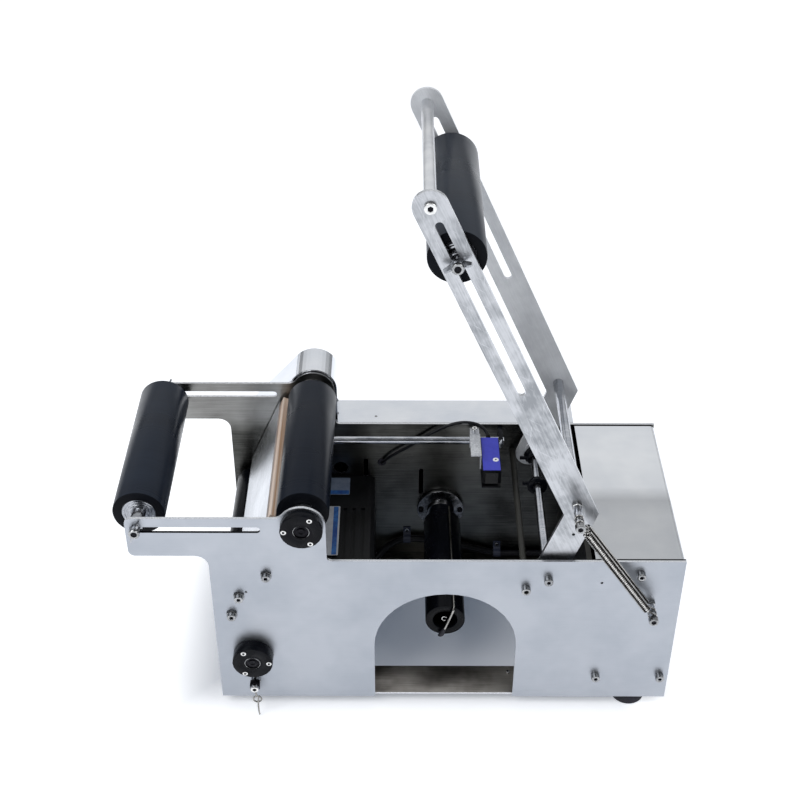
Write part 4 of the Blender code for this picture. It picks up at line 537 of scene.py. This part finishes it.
def tube(shape, route, radius, sides=12):
    """Round bar along a route of points in millimetres, without twist."""
    rings = []
    side = None
    for i, point in enumerate(route):
        ahead = (route[min(i + 1, len(route) - 1)] - route[max(i - 1, 0)]).normalized()
        if side is None:
            side = ahead.orthogonal().normalized()
        side = (side - ahead * side.dot(ahead)).normalized()
        other = ahead.cross(side)
        r = radius(i / (len(route) - 1)) if callable(radius) else radius
        rings.append([at(*(point + (side * math.cos(a) + other * math.sin(a)) * r))
                      for a in (2 * math.pi * k / sides for k in range(sides))])
    skinned(shape, rings)


def strip(shape, path, thick, start, width):
    """Flat strip bent along (y, z) points, in millimetres, running from x = start for its width."""
    rings = []
    for i, (y, z) in enumerate(path):
        a, b = path[max(i - 1, 0)], path[min(i + 1, len(path) - 1)]
        along = Vector((b[0] - a[0], b[1] - a[1])).normalized()
        out = Vector((-along.y, along.x)) * thick / 2
        rings.append([at(start, y - out.x, z - out.y), at(start + width, y - out.x, z - out.y),
                      at(start + width, y + out.x, z + out.y), at(start, y + out.x, z + out.y)])
    skinned(shape, rings)


def slab(shape, low, high, corner=1.0):
    """Flat plate with rounded corners seen from above, from low to high, in millimetres."""
    outline = []
    for cx, cy, first in ((high.x - corner, high.y - corner, 0), (low.x + corner, high.y - corner, 90),
                          (low.x + corner, low.y + corner, 180), (high.x - corner, low.y + corner, 270)):
        for k in range(5):
            angle = math.radians(first + 22.5 * k)
            outline.append((cx + corner * math.cos(angle), cy + corner * math.sin(angle)))
    skinned(shape, [[at(x, y, z) for x, y in outline] for z in (low.z, high.z)])


# ---------------------------------------------------------------- rods, feet, housings and the like

for node in ("peel_rod", "hem_rod", "box_rod_top", "box_rod_left", "box_rod_right", "stop_rod", "guide_axle",
             "pivot_rod", "tie_rod", "spring_post"):
    eased(node, SHADED_ROD if node == "stop_rod" else ROD_STEEL)
for node in ("pinch_axle", "press_axle"):
    eased(node, CHROME)
drawn_in(eased("support_axle", CHROME), -0.1, 0.6)
drawn_in(eased("handle_bar", HANDLE), ARM_FRONT - 0.1, 0.42)
floor_plate = eased("base_plate", BASE_SHEET, 0.15)
for vertex in floor_plate.data.vertices:
    if at(0, 50, 0).y < vertex.co.y < at(0, 70, 0).y:
        vertex.co.y -= OPENING_FORWARD * MM
eased("drive_shaft", BRIGHT_ZINC)
# the sensor's rod is bright, its two stand-offs are black
rod = eased("sensor_rod", ROD_STEEL)
rod.data.materials.append(ANODISED)
for face in rod.data.polygons:
    if face.center.y > at(0, 216.5, 0).y:
        face.material_index = 1
eased("mandrel_flange", FLANGE)
for node in ("guide_collar_front", "guide_collar_back", "guide_roller"):
    eased(node, ANODISED)
eased("drive_housing", ANODISED, 0.6)
drawn_in(eased("traction_housing", ANODISED, 0.6), -0.1, 0.78)
drawn_in(eased("traction_roller", RUBBER), -0.1, 0.78)
eased("pinch_roller", RUBBER)
for foot, (x, y) in FEET.items():
    pad = spin([(0, 0.3), (14.6, 0.3), (15.4, 0.9), (18.4, 10.0), (18.8, 11.2), (18.2, 11.9), (17.0, 12.0),
                (8.8, 12.0), (8.2, 11.4), (8.2, 7.0), (0, 7.0)], at(x, y, 0), -ALONG_Z, 72)
    piece("foot_" + foot + "_pad", pad, FOOT_RUBBER, "frame", ("foot_" + foot,))
    washer = bmesh.new()
    spin([(0, 7.0), (6.8, 7.0), (6.8, 7.9), (0, 7.9)], at(x, y, 0), -ALONG_Z, 48, washer)
    socket_screw(washer, at(x, y, -7.8), -ALONG_Z, 4.2, 2.4, 1.9)
    piece("foot_" + foot + "_screw", washer, SCREW_STEEL, "frame")
eased("speed_knob", BLACK_ABS_AND_SHADE, 0.4)
eased("sensor_body", BLACK_ABS_AND_SHADE, 0.3)


# ---------------------------------------------------------------- rollers


def roller(node, centre, front, body, bearings, finish):
    """Rubber sleeve on a turned core, with a ball bearing let into each end of the free ones."""
    x, z = centre
    start = at(x, front, z)
    core, bore = (18.0, 17.6) if bearings else (13.0, 8.0)
    ease = 0.9
    sleeve = [(core, 0), (ROLLER - ease, 0), (ROLLER - ease * 0.3, ease * 0.3), (ROLLER, ease),
              (ROLLER, ROLLER_LONG - ease), (ROLLER - ease * 0.3, ROLLER_LONG - ease * 0.3),
              (ROLLER - ease, ROLLER_LONG), (core, ROLLER_LONG)]
    obj = piece(node + "_sleeve", spin(sleeve, start, steps=128), finish, body, (node,))
    obj.data.materials.append(RUBBER_END)
    for face in obj.data.polygons:
        if abs(face.normal.y) > 0.9:
            face.material_index = 1
    ends = [(bore, 0.6), (core - 0.4, 0.6), (core, 1.0), (core, ROLLER_LONG - 1.0),
            (core - 0.4, ROLLER_LONG - 0.6), (bore, ROLLER_LONG - 0.6)]
    piece(node + "_core", spin(ends, start, steps=96), CORE_METAL, body, ease=0.2)
    return start


def bearing(name, centre, face, outward, body, finish):
    """Races and shield of a ball bearing, seen from its end."""
    x, z = centre
    start, axis = at(x, face, z), ALONG_Y * outward
    races = bmesh.new()
    outer = [(17.4, -1.0), (17.4, 0.2), (17.0, 0.35), (14.9, 0.35), (14.6, 0.1), (14.6, -1.0)]
    inner = [(10.4, -1.0), (10.4, 0.1), (10.1, 0.35), (8.0, 0.35), (7.7, 0.1), (7.7, -1.0)]
    spin(outer, start, axis, 96, races)
    spin(inner, start, axis, 72, races)
    piece(name + "_races", races, finish, body)
    shield = spin([(14.0, -0.9), (14.0, -0.2), (13.6, 0.0), (12.2, 0.05), (11.6, -0.25), (11.2, -0.25),
                   (11.0, -0.9)], start, axis, 72)
    piece(name + "_shield", shield, finish, body)
    # a black ring behind the gaps between races and shield: painted shade
    gap = spin([(14.7, -0.9), (14.7, -0.55), (10.3, -0.55), (10.3, -0.9)], start, axis, 72)
    piece(name + "_gap", gap, BLACK_ABS_AND_SHADE, body)


roller("drive_roller", DRIVE, DRIVE_FRONT, "drive", False, DRIVE_RUBBER)
roller("support_roller", SUPPORT, SUPPORT_FRONT, "support", True, RUBBER)
roller("press_roller", PRESS, PRESS_FRONT, "press", True, PRESS_RUBBER)
# the press roller's bearings take the blackened finish, painted shade; the support roller's are bright
for name, centre, front, body, finish in (("support", SUPPORT, SUPPORT_FRONT, "support_carriage", BEARING),
                                          ("press", PRESS, PRESS_FRONT, "press_carriage", BLACKENED_AND_SHADE)):
    bearing(name + "_bearing_front", centre, front + 0.3, -1, body, finish)
    bearing(name + "_bearing_back", centre, front + ROLLER_LONG - 0.3, 1, body, finish)


# ---------------------------------------------------------------- screws


def key_floor(shape, point, axis, key, depth):
    """Floor of a key hole, some way below the head's top, blackened: painted shade in the hole."""
    reach, under = key * 1.1, -depth - 0.3
    spin([(0, -depth), (reach, -depth), (reach, under), (0, under)], point, axis, 6, shape)


def screw_set(name, body, heads, finish=None, deep=0.28):
    """Screws of one body: (point, axis, radius, height, key) for each. deep is how far down the key
    hole's floor lies, as a share of the head."""
    shape, floors = bmesh.new(), bmesh.new()
    for point, axis, radius, height, key in heads:
        socket_screw(shape, point, axis, radius, height, key)
        key_floor(floors, point + axis * height * MM, axis, key, height * deep)
    piece(name, shape, finish or SCREW_STEEL, body)
    # the key holes' floors are blackened: painted shade
    piece(name + "_keys", floors, BLACKENED_AND_SHADE, body)


def about(centre, face, reach, angles):
    """Points round a centre, standing on a face that looks forward."""
    turns = [math.radians(a) for a in angles]
    return [at(centre[0] + reach * math.cos(a), face, centre[1] + reach * math.sin(a)) for a in turns]


screw_set("housing_screws", "frame", [(p, -ALONG_Y, 2.9, 1.2, 1.35) for p in (
    *about(DRIVE, -9.4, 18.0, (60, 180, 300)), *about(TRACTION, -13.5, 18.0, (0, 120, 240)))], BRIGHT_ZINC)
screw_set("flange_screws", "frame", [
    (p, -ALONG_Y, 3.3, 2.6, 1.5) for p in about(MANDREL, 229.2, 24.0, (0, 90, 180, 270))], BLACKENED_AND_SHADE)
screw_set("base_screw", "frame", [(at(325, 34, 2.3), ALONG_Z, 2.2, 1.4, 1.1)])
FRONT_HEADS = ((59.4, 188.2), (28.8, 157.2), (19.4, 130.2), (453.9, 190.9), (418.9, 35.3), (490.5, 35.3),
               (334.1, 170.1), (357.0, 183.5))
screw_set("rod_screws_front", "frame", [(at(x, -0.1, z), -ALONG_Y, 5.0, 6.8, 2.5) for x, z in FRONT_HEADS])
screw_set("arm_screws_front", "press_arm", [(at(226.3, 7.8, 621.0), -ALONG_Y, 5.8, 2.9, 2.5)], BRIGHT_ZINC,
          0.06)
nuts = bmesh.new()
nut = [(4.9, 0), (6.1, 0), (6.4, 0.3), (6.4, 1.9), (6.0, 2.3), (4.9, 2.3)]
for x, z in FRONT_HEADS[:3]:
    spin(nut, at(x, -0.1, z), -ALONG_Y, 6, nuts)
piece("jam_nuts", nuts, SCREW_STEEL, "frame")

# front caps and collars of the two spring posts
for name, post, body, face in (("tie", TIE, "press_arm", ARM_FRONT), ("spring", SPRING_LOW, "frame", 0.0)):
    screw_set(name + "_post_cap", body, [(at(post.x, -23.4, post.z), -ALONG_Y, 5.2, 6.3, 2.6)], deep=0.17)
    collars = bmesh.new()
    spin([(3.9, -1.3), (4.7, -1.3), (5.0, -1.0), (5.0, 1.0), (4.7, 1.3), (3.9, 1.3)],
         at(post.x, -16.25, post.z), ALONG_Y, 48, collars)
    spin([(3.9, 0.1), (5.3, 0.1), (5.6, 0.4), (5.6, 3.6), (5.2, 4.0), (3.9, 4.0)],
         at(post.x, face, post.z), -ALONG_Y, 6, collars)
    piece(name + "_post_collars", collars, SCREW_STEEL, body)

# rolled rim and hollow on the front of each wing screw; the hollow is blackened, painted shade
for name, (x, z), face, body in (("press", PRESS, -3.8, "press_carriage"),
                                 ("support", SUPPORT, -7.1, "support_carriage")):
    rim = spin([(3.2, -0.8), (3.4, 0.6), (4.4, 1.0), (5.3, 0.8), (5.8, 0.1), (5.8, -2.6), (4.8, -3.0)],
               at(x, face, z), -ALONG_Y, 64)
    piece(name + "_wing_rim", rim, SCREW_STEEL, body)
    hollow = spin([(0, 0.15), (1.3, 0.15), (1.5, -0.1), (3.3, -0.1), (3.3, -0.6), (0, -0.6)], at(x, face, z),
                  -ALONG_Y, 40)
    piece(name + "_wing_hollow", hollow, BLACKENED_AND_SHADE, body)

# tapped holes left empty, drawn as black discs: painted shade in the holes
holes = {"frame": [(452.5, 0.0, 165.6, 2.0)],
         "press_arm": [(380.0, ARM_FRONT, 239.2, 1.7), (396.4, ARM_FRONT, 244.8, 1.7)]}
for body, places in holes.items():
    dark = bmesh.new()
    for x, y, z, r in places:
        spin([(0, 0.03), (r * 0.8, 0.03), (r, 0.06), (r, -0.3), (0, -0.3)], at(x, y, z), -ALONG_Y, 24, dark)
    piece(body + "_tapped_holes", dark, BLACK_ABS_AND_SHADE, body)

# cover ring, snap ring and shaft end in the mouth of each front housing; the shaft end is blackened, painted
# shade in the mouth
cover = [(8.7, -1.9), (8.7, -0.35), (9.1, 0.05), (11.2, 0.05), (11.2, -1.9)]
snap = [(8.1, -0.9), (8.1, -0.25), (8.3, -0.1), (8.6, -0.25), (8.7, -0.9)]
for name, (x, z), face, body in (("drive", DRIVE, -10.0, "drive"), ("traction", TRACTION, -14.1, "traction")):
    mouth = at(x, face, z)
    piece(name + "_cover_ring", spin(cover, mouth, -ALONG_Y, 96), ANODISED, "frame")
    piece(name + "_snap_ring", spin(snap, mouth, -ALONG_Y, 96), SCREW_STEEL, "frame")
    shaft_end = bmesh.new()
    socket_screw(shaft_end, mouth + ALONG_Y * 1.95 * MM, -ALONG_Y, 7.4, 0.6, 2.6)
    socket_screw(shaft_end, mouth + ALONG_Y * 1.4 * MM, -ALONG_Y, 4.6, 1.0, 2.3)
    piece(name + "_shaft_end", shaft_end, BLACKENED_AND_SHADE, body)

# nut, end screw and wire clip on the pinch axle's front end
pinch_body = NODES["pinch_axle"]["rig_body"]
nut = spin([(4.9, 0), (5.9, 0), (6.3, 0.5), (6.3, 8.0), (5.9, 8.5), (4.9, 8.5)], at(*PINCH_TIP), ALONG_Y, 6)
piece("pinch_axle_nut", nut, BLACKENED_AND_SHADE, pinch_body, ease=0.3)
screw_set("pinch_axle_screw", pinch_body, [(at(38.9, -15.2, 28.0), -ALONG_Y, 4.3, 1.6, 2.1)], BRIGHT_ZINC)

# the leaf spring under the pinch axle gives where the axle presses on its raised ends
leaf = bmesh.new()
leaf.from_mesh(NODES["pinch_spring"].data)
obj = piece("pinch_spring_leaf", leaf, SPRING_WIRE, None, ("pinch_spring",))
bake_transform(obj)

# rivets of the belt guard's flange, on its inner side and on top
rivets = bmesh.new()
for z in (236.4, 217.0):
    spin([(0, 1.1), (0.8, 1.1), (1.6, 0.6), (1.9, 0), (0, 0)], at(126.6, 244.0, z), ALONG_X, 24, rivets)
spin([(0, 0.3), (1.4, 0.3), (1.7, 0), (0, 0)], at(171.5, 250.0, 208.0), ALONG_Z, 24, rivets)
piece("guard_rivets", rivets, SCREW_STEEL, "frame")


# ---------------------------------------------------------------- return springs

run = (TIE - SPRING_LOW).normalized()
COIL_LOW = SPRING_LOW + run * 13.0
COIL_HIGH = TIE - run * 13.9
WIRE = 0.85
COIL = 3.85             # radius of the wire's middle line
TURN = 2.5              # pitch, a little open under its load
STEPS = 20              # points to a turn
EYE = 4.15              # radius of the hook's middle line round its post
SIDES = 8               # of the wire's section
HIGHLIGHT_LINES = 5               # painted highlight lines round the coil
HOOK_HIGHLIGHT = 0.6       # how bright the painted highlight on the hooks is


def hook(post, inward, plane):
    """Open eye round a post's neck, from its free end to the point where it meets the coil."""
    across = ALONG_Y.cross(inward)
    eye = [post + (inward * math.cos(a) + across * math.sin(a)) * EYE
           for a in (math.radians(d) for d in range(-50, -321, -18))]
    return [p + plane for p in (*eye, post + inward * 6.6 + across * 1.5, post + inward * 9.5)]


for side, y, coil_y in (("front", -20.5, -21.1), ("back", -12.0, -11.6)):
    plane, coil_plane = ALONG_Y * y, ALONG_Y * coil_y
    across = ALONG_Y.cross(run)
    length = (COIL_HIGH - COIL_LOW).length
    turns = round(length / TURN)
    coil, lines = [], []
    for i in range(turns * STEPS + 1):
        t = i / (turns * STEPS)
        a = 2 * math.pi * turns * t
        grown = min(1.0, t * turns * 2, (1 - t) * turns * 2)
        coil.append(COIL_LOW + run * length * t + plane.lerp(coil_plane, grown)
                    + (across * math.cos(a) + ALONG_Y * math.sin(a)) * COIL * grown)
        lines.append(0.5 + 0.5 * math.cos(HIGHLIGHT_LINES * a))
    low = smooth_route(hook(SPRING_LOW, run, plane), 1.2)
    high = smooth_route(hook(TIE, -run, plane), 1.2)
    spring = bmesh.new()
    tube(spring, [*low, *coil, *high[::-1]], WIRE, SIDES)
    # painted highlight lines along the coil, kept on the wire's points
    painted_highlight_lines = spring.verts.layers.float.new("painted_highlight_lines")
    spring.verts.ensure_lookup_table()
    for i, line in enumerate([HOOK_HIGHLIGHT] * len(low) + lines + [HOOK_HIGHLIGHT] * len(high)):
        for vertex in spring.verts[i * SIDES:(i + 1) * SIDES]:
            vertex[painted_highlight_lines] = line
    obj = piece("return_spring_" + side, spring, COIL_WIRE, None,
                ("spring_coil_" + side, "spring_hook_" + side), sharp=180)
    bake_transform(obj)


# ---------------------------------------------------------------- leads, clips, labels

# the sensor's lead sags from its strain relief to the grommet in the back plate
lead = bmesh.new()
SENSOR_ROUTE = [
    (303.0, 210.6, 206.0), (302.8, 215.0, 206.7), (299.5, 220.0, 211.0), (292.0, 224.5, 215.0),
    (281.9, 226.5, 216.8), (270.3, 227.5, 216.0), (258.8, 228.2, 212.1), (247.2, 229.0, 205.3),
    (235.5, 229.0, 197.8), (223.8, 229.0, 188.8), (212.0, 229.0, 179.6), (200.1, 229.5, 171.2),
    (189.0, 229.8, 163.0), (181.8, 231.0, 155.5), (179.2, 233.5, 151.2), (178.4, 236.5, 150.0),
    (178.4, 239.8, 150.0)]
tube(lead, smooth_route(SENSOR_ROUTE, 2.0), 1.8, 14)
obj = piece("sensor_lead_jacket", lead, JACKET, None, ("sensor_lead",), sharp=60)
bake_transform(obj)
relief = bmesh.new()
tube(relief, [Vector((303.0, 209.9 + 0.55 * i, 206.0 + 0.02 * i * i)) for i in range(9)],
     lambda t: 2.9 - 0.8 * t + 0.18 * math.cos(t * 8 * math.pi), 16)
piece("sensor_strain_relief", relief, BLACK_ABS_AND_SHADE, "sensor", sharp=60)
grommet = spin([(2.0, -1.2), (3.4, -1.3), (4.9, -0.9), (5.3, 0.0), (4.8, 0.4), (2.0, 0.4)],
               at(178.4, 235.0, 150.0), steps=48)
piece("lead_grommet", grommet, FOOT_RUBBER, "frame", sharp=80)

# the motor's lead runs along the back plate, through two clips, to the control box
lead = bmesh.new()
MOTOR_ROUTE = [
    (150.0, 165.0, 38.0), (150.2, 167.2, 27.0), (153.0, 178.0, 15.5), (160.0, 196.0, 10.5),
    (171.0, 213.0, 13.0), (183.0, 224.5, 20.0), (196.0, 228.5, 27.2), (209.0, 228.5, 31.2),
    (231.0, 228.5, 30.5), (254.0, 228.5, 26.5), (278.0, 228.5, 20.5), (301.0, 228.5, 13.0),
    (322.3, 228.5, LEAD_LOW_RUN), (345.0, 228.5, LEAD_LOW_RUN), (372.0, 228.5, LEAD_LOW_RUN),
    (395.5, 228.5, LEAD_LOW_RUN), (401.0, 228.5, LEAD_LOW_RUN)]
tube(lead, smooth_route(MOTOR_ROUTE, 3.0), 4.0, 18)
piece("motor_lead_jacket", lead, JACKET, "frame", ("motor_lead",), sharp=60)
clips, clip_screws = bmesh.new(), bmesh.new()
for x, z in ((209.0, 31.2), (322.3, LEAD_LOW_RUN)):
    wrap = [(228.5 + 4.7 * math.cos(math.radians(a)), z + 4.7 * math.sin(math.radians(a)))
            for a in range(330, 54, -20)]
    strip(clips, [*wrap, (233.2, z + 5.6), (234.1, z + 8.0), (234.2, z + 15.0)], 0.9, x - 4.5, 9.0)
    socket_screw(clip_screws, at(x, 233.8, z + 11.0), -ALONG_Y, 2.7, 1.8, 1.2)
piece("lead_clips", clips, NYLON, "frame", sharp=60)
piece("lead_clip_screws", clip_screws, SCREW_STEEL, "frame")

# wire clip through the front end of the pinch axle
clip = bmesh.new()
eye = [Vector((41.0 + 4.6 * math.cos(a), -14.2, 10.5 + 4.6 * math.sin(a)))
       for a in (math.radians(d) for d in range(90, 431, 20))]
tail = [(41.6, -15.4, 4.0), (41.8, -17.0, -1.0), (42.2, -18.6, -5.5), (42.9, -19.6, -9.0)]
tube(clip, smooth_route([(39.6, -13.0, 24.0), (39.4, -13.4, 19.0), *eye, *tail], 1.0), 1.0, 10)
piece("pinch_axle_clip", clip, SPRING_WIRE, pinch_body, sharp=60)

# mandrel: a stout tube on a spigot, dished at its front end
tube_axis = at(251.2, MANDREL_FRONT, 80.4)
profile = [(13.6, 5.5), (13.6, 0.9), (14.0, 0.4), (14.6, 0.4), (15.2, 0.0), (21.0, 0.0), (21.9, 0.4),
           (22.2, 1.2), (22.2, 163.0), (21.6, 164.0), (15.5, 164.0), (15.5, 188.6), (0, 188.6), (0, 5.5)]
piece("mandrel_tube_turned", spin(profile, tube_axis, steps=96), ANODISED, "frame",
      ("mandrel_tube",))
wire = bmesh.new()
tube(wire, smooth_route(CLIP_ROUTE, 1.5), 1.45, 14)
piece("mandrel_clip_wire", wire, SPRING_WIRE, "frame", ("mandrel_clip",), sharp=60)
tip = bmesh.new()
tube(tip, smooth_route(CLIP_TIP, 0.6), lambda t: 1.9 + 1.7 * math.sin(math.pi * t ** 1.4) - 0.9 * t, 16)
piece("mandrel_clip_tip", tip, FOOT_RUBBER, "frame", sharp=60)
catch = bmesh.new()
tube(catch, smooth_route([Vector((250.3 + 2.6 * math.cos(a), 43.0, 80.3 + 3.0 * math.sin(a)))
                          for a in (math.radians(d) for d in range(20, 301, 20))], 0.7), 0.75, 10)
piece("mandrel_catch", catch, BRIGHT_ZINC, "frame", sharp=60)

# black strip in the gap between the front plate and the cover: painted shade
gap_strip = bmesh.new()
slab(gap_strip, Vector((405.7, 3.05, 207.6)), Vector((499.8, 4.2, 208.4)), 0.4)
piece("cover_gap_shade_strip", gap_strip, BLACK_ABS_AND_SHADE, "frame")

# the sensor's blue lid, dark window, and setting dial
plate = bmesh.new()
slab(plate, Vector((294.3, 149.3, 207.9)), Vector((314.2, 209.0, 208.5)), 0.8)
piece("sensor_cover", plate, BLUE_ABS, "sensor", ease=0.15)
window = bmesh.new()
bmesh.ops.create_cube(window, size=1.0)
bmesh.ops.scale(window, vec=(0.0150, 0.0008, 0.016), verts=window.verts)
bmesh.ops.translate(window, vec=at(304.3, 148.5, 197.4), verts=window.verts)
piece("sensor_window", window, WINDOW, "sensor", ease=0.3)
dial = spin([(0, -0.2), (1.1, -0.2), (1.2, 0.5), (2.9, 0.6), (3.4, 0.3), (3.5, 0.0), (0, -0.1)],
            at(*SENSOR_DIAL), ALONG_Z, 40)
piece("sensor_dial", dial, WHITE_PAINT, "sensor")
screw_set("bracket_screw", "sensor", [(at(287.1, 216.6, 214.4), ALONG_Z, 3.2, 2.4, 1.3)], BRIGHT_ZINC)
hub = spin([(0, 0.35), (0.9, 0.35), (1.1, 0.1), (0, 0.1)], at(*SENSOR_DIAL), ALONG_Z, 24)
piece("sensor_dial_hub", hub, BLACK_ABS_AND_SHADE, "sensor")

# the motor's two labels, left bare but for a band of colour
bands = bmesh.new()
for name, film, low, high, band_low, band_high in (
        ("motor_label_front", LABEL_FILM, Vector((110.0, 92.0, 130.5)), Vector((130.0, 176.0, 130.8)),
         (122.5, 93.0), (128.0, 175.0)),
        ("motor_label_back", LABEL_SHADE, Vector((115.0, 199.0, 129.0)), Vector((140.0, 230.0, 129.3)),
         (115.8, 200.0), (139.2, 206.5))):
    label = bmesh.new()
    slab(label, low, high, 1.2)
    piece(name, label, film, "frame", sharp=60)
    slab(bands, Vector((*band_low, high.z - 0.05)), Vector((*band_high, high.z + 0.08)), 0.6)
piece("motor_label_bands", bands, LABEL_BAND, "frame", sharp=60)


# ---------------------------------------------------------------- floor, light, camera


def floor_finish():
    """Matt white sweep: open floor reads as plain white, and keeps the machine's soft shadow."""
    material, n, coords = begin("studio_floor_matt")
    path = {key: n("LightPath", out=key) for key in ("Is Camera Ray", "Is Glossy Ray", "Is Transmission Ray")}
    seen = n("Math", n("Math", path["Is Camera Ray"], path["Is Glossy Ray"], operation="MAXIMUM"),
             path["Is Transmission Ray"], operation="MAXIMUM")
    # the glow that whitens the open floor fades under the machine to a faint blue glow, painted light in the
    # machine's shade
    reach = [n("Math", n("Math", n("SeparateXYZ", coords, out=axis), operation="ABSOLUTE"), half,
               operation="SUBTRACT") for axis, half in ((0, 0.24), (1, 0.12))]
    outside = n("MapRange", n("Math", *reach, operation="MAXIMUM"), -0.03, 0.03, 0.0, 1.0)
    glow = n("MixRGB", outside, (0.055, 0.075, 0.11, 1.0), (0.55, 0.57, 0.6, 1.0))
    glow = n("Emission", glow, seen)
    n("OutputMaterial", n("AddShader", n("BsdfDiffuse", (0.86, 0.86, 0.87, 1.0)), glow))
    return material


def floor():
    shape = bmesh.new()
    bmesh.ops.create_grid(shape, x_segments=1, y_segments=1, size=8.0)
    mesh = bpy.data.meshes.new("studio_floor")
    shape.to_mesh(mesh)
    shape.free()
    mesh.materials.append(floor_finish())
    obj = bpy.data.objects.new("studio_floor", mesh)
    bpy.context.scene.collection.objects.link(obj)
    obj.location.z = -0.0002
    obj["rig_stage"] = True


def sky():
    """White studio dome, a little darker towards the horizon and in a soft band above it, so that
    bright metal has something to reflect."""
    world = bpy.data.worlds.new("studio_dome")
    bpy.context.scene.world = world
    world.use_nodes = True
    world.node_tree.nodes.clear()
    n = partial(add, world.node_tree)
    up = n("SeparateXYZ", n("TexCoord", out="Generated"), out="Z")
    rise = n("MapRange", up, -0.1, 1.0, 0.0, 1.0)
    greys = ((0.0, 0.9), (0.09, 0.3), (0.22, 0.3), (0.36, 0.8), (0.64, 1.0), (0.7, 0.82), (0.78, 0.95),
             (1.0, 1.0))
    dome = n("ValToRGB", rise, stops=[(p, (g * 0.97, g * 0.985, g, 1.0)) for p, g in greys])
    seen = n("LightPath", out="Is Camera Ray")
    # the dark of the room behind the camera, which bright steel shows as its dark lines
    ahead = n("SeparateXYZ", n("TexCoord", out="Generated"), out="Y")
    dark = n("Math", n("MapRange", ahead, -0.12, -0.4, 0.0, 0.85), n("MapRange", up, 0.02, 0.2, 0.0, 1.0),
             operation="MULTIPLY")
    dome = n("MixRGB", dark, dome, (0.0, 0.0, 0.0, 1.0))
    colour = n("MixRGB", seen, dome, (1.0, 1.0, 1.0, 1.0))
    strength = n("Math", seen, 0.2, 0.8, operation="MULTIPLY_ADD")
    n("OutputWorld", n("Background", colour, strength))


def lamp(name, place, aim, size, power):
    light = bpy.data.lights.new(name, "AREA")
    light.shape, light.size, light.energy = "SQUARE", size, power
    obj = bpy.data.objects.new(name, light)
    obj.location = place
    obj.rotation_euler = (Vector(aim) - Vector(place)).to_track_quat("-Z", "Y").to_euler()
    bpy.context.scene.collection.objects.link(obj)


floor()
sky()
lamp("key_light", (-1.3, -1.2, 2.1), (0, 0, 0.2), 1.6, 26.0)
lamp("fill_light", (1.6, -0.8, 1.8), (0, 0, 0.2), 1.2, 9.0)

# lens, place and turn solved from the plates' edges and hole centres in the photograph
camera = bpy.data.cameras.new("camera")
camera.lens, camera.sensor_width = 62.2083, 36.0
viewer = bpy.data.objects.new("camera", camera)
viewer.location = (0.00026, -1.18401, 1.21737)
viewer.rotation_euler = [math.radians(a) for a in (53.33392, -0.09162, 0.09990)]
bpy.context.scene.collection.objects.link(viewer)
bpy.context.scene.camera = viewer
bpy.context.scene.view_settings.view_transform = "Standard"

low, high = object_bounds()
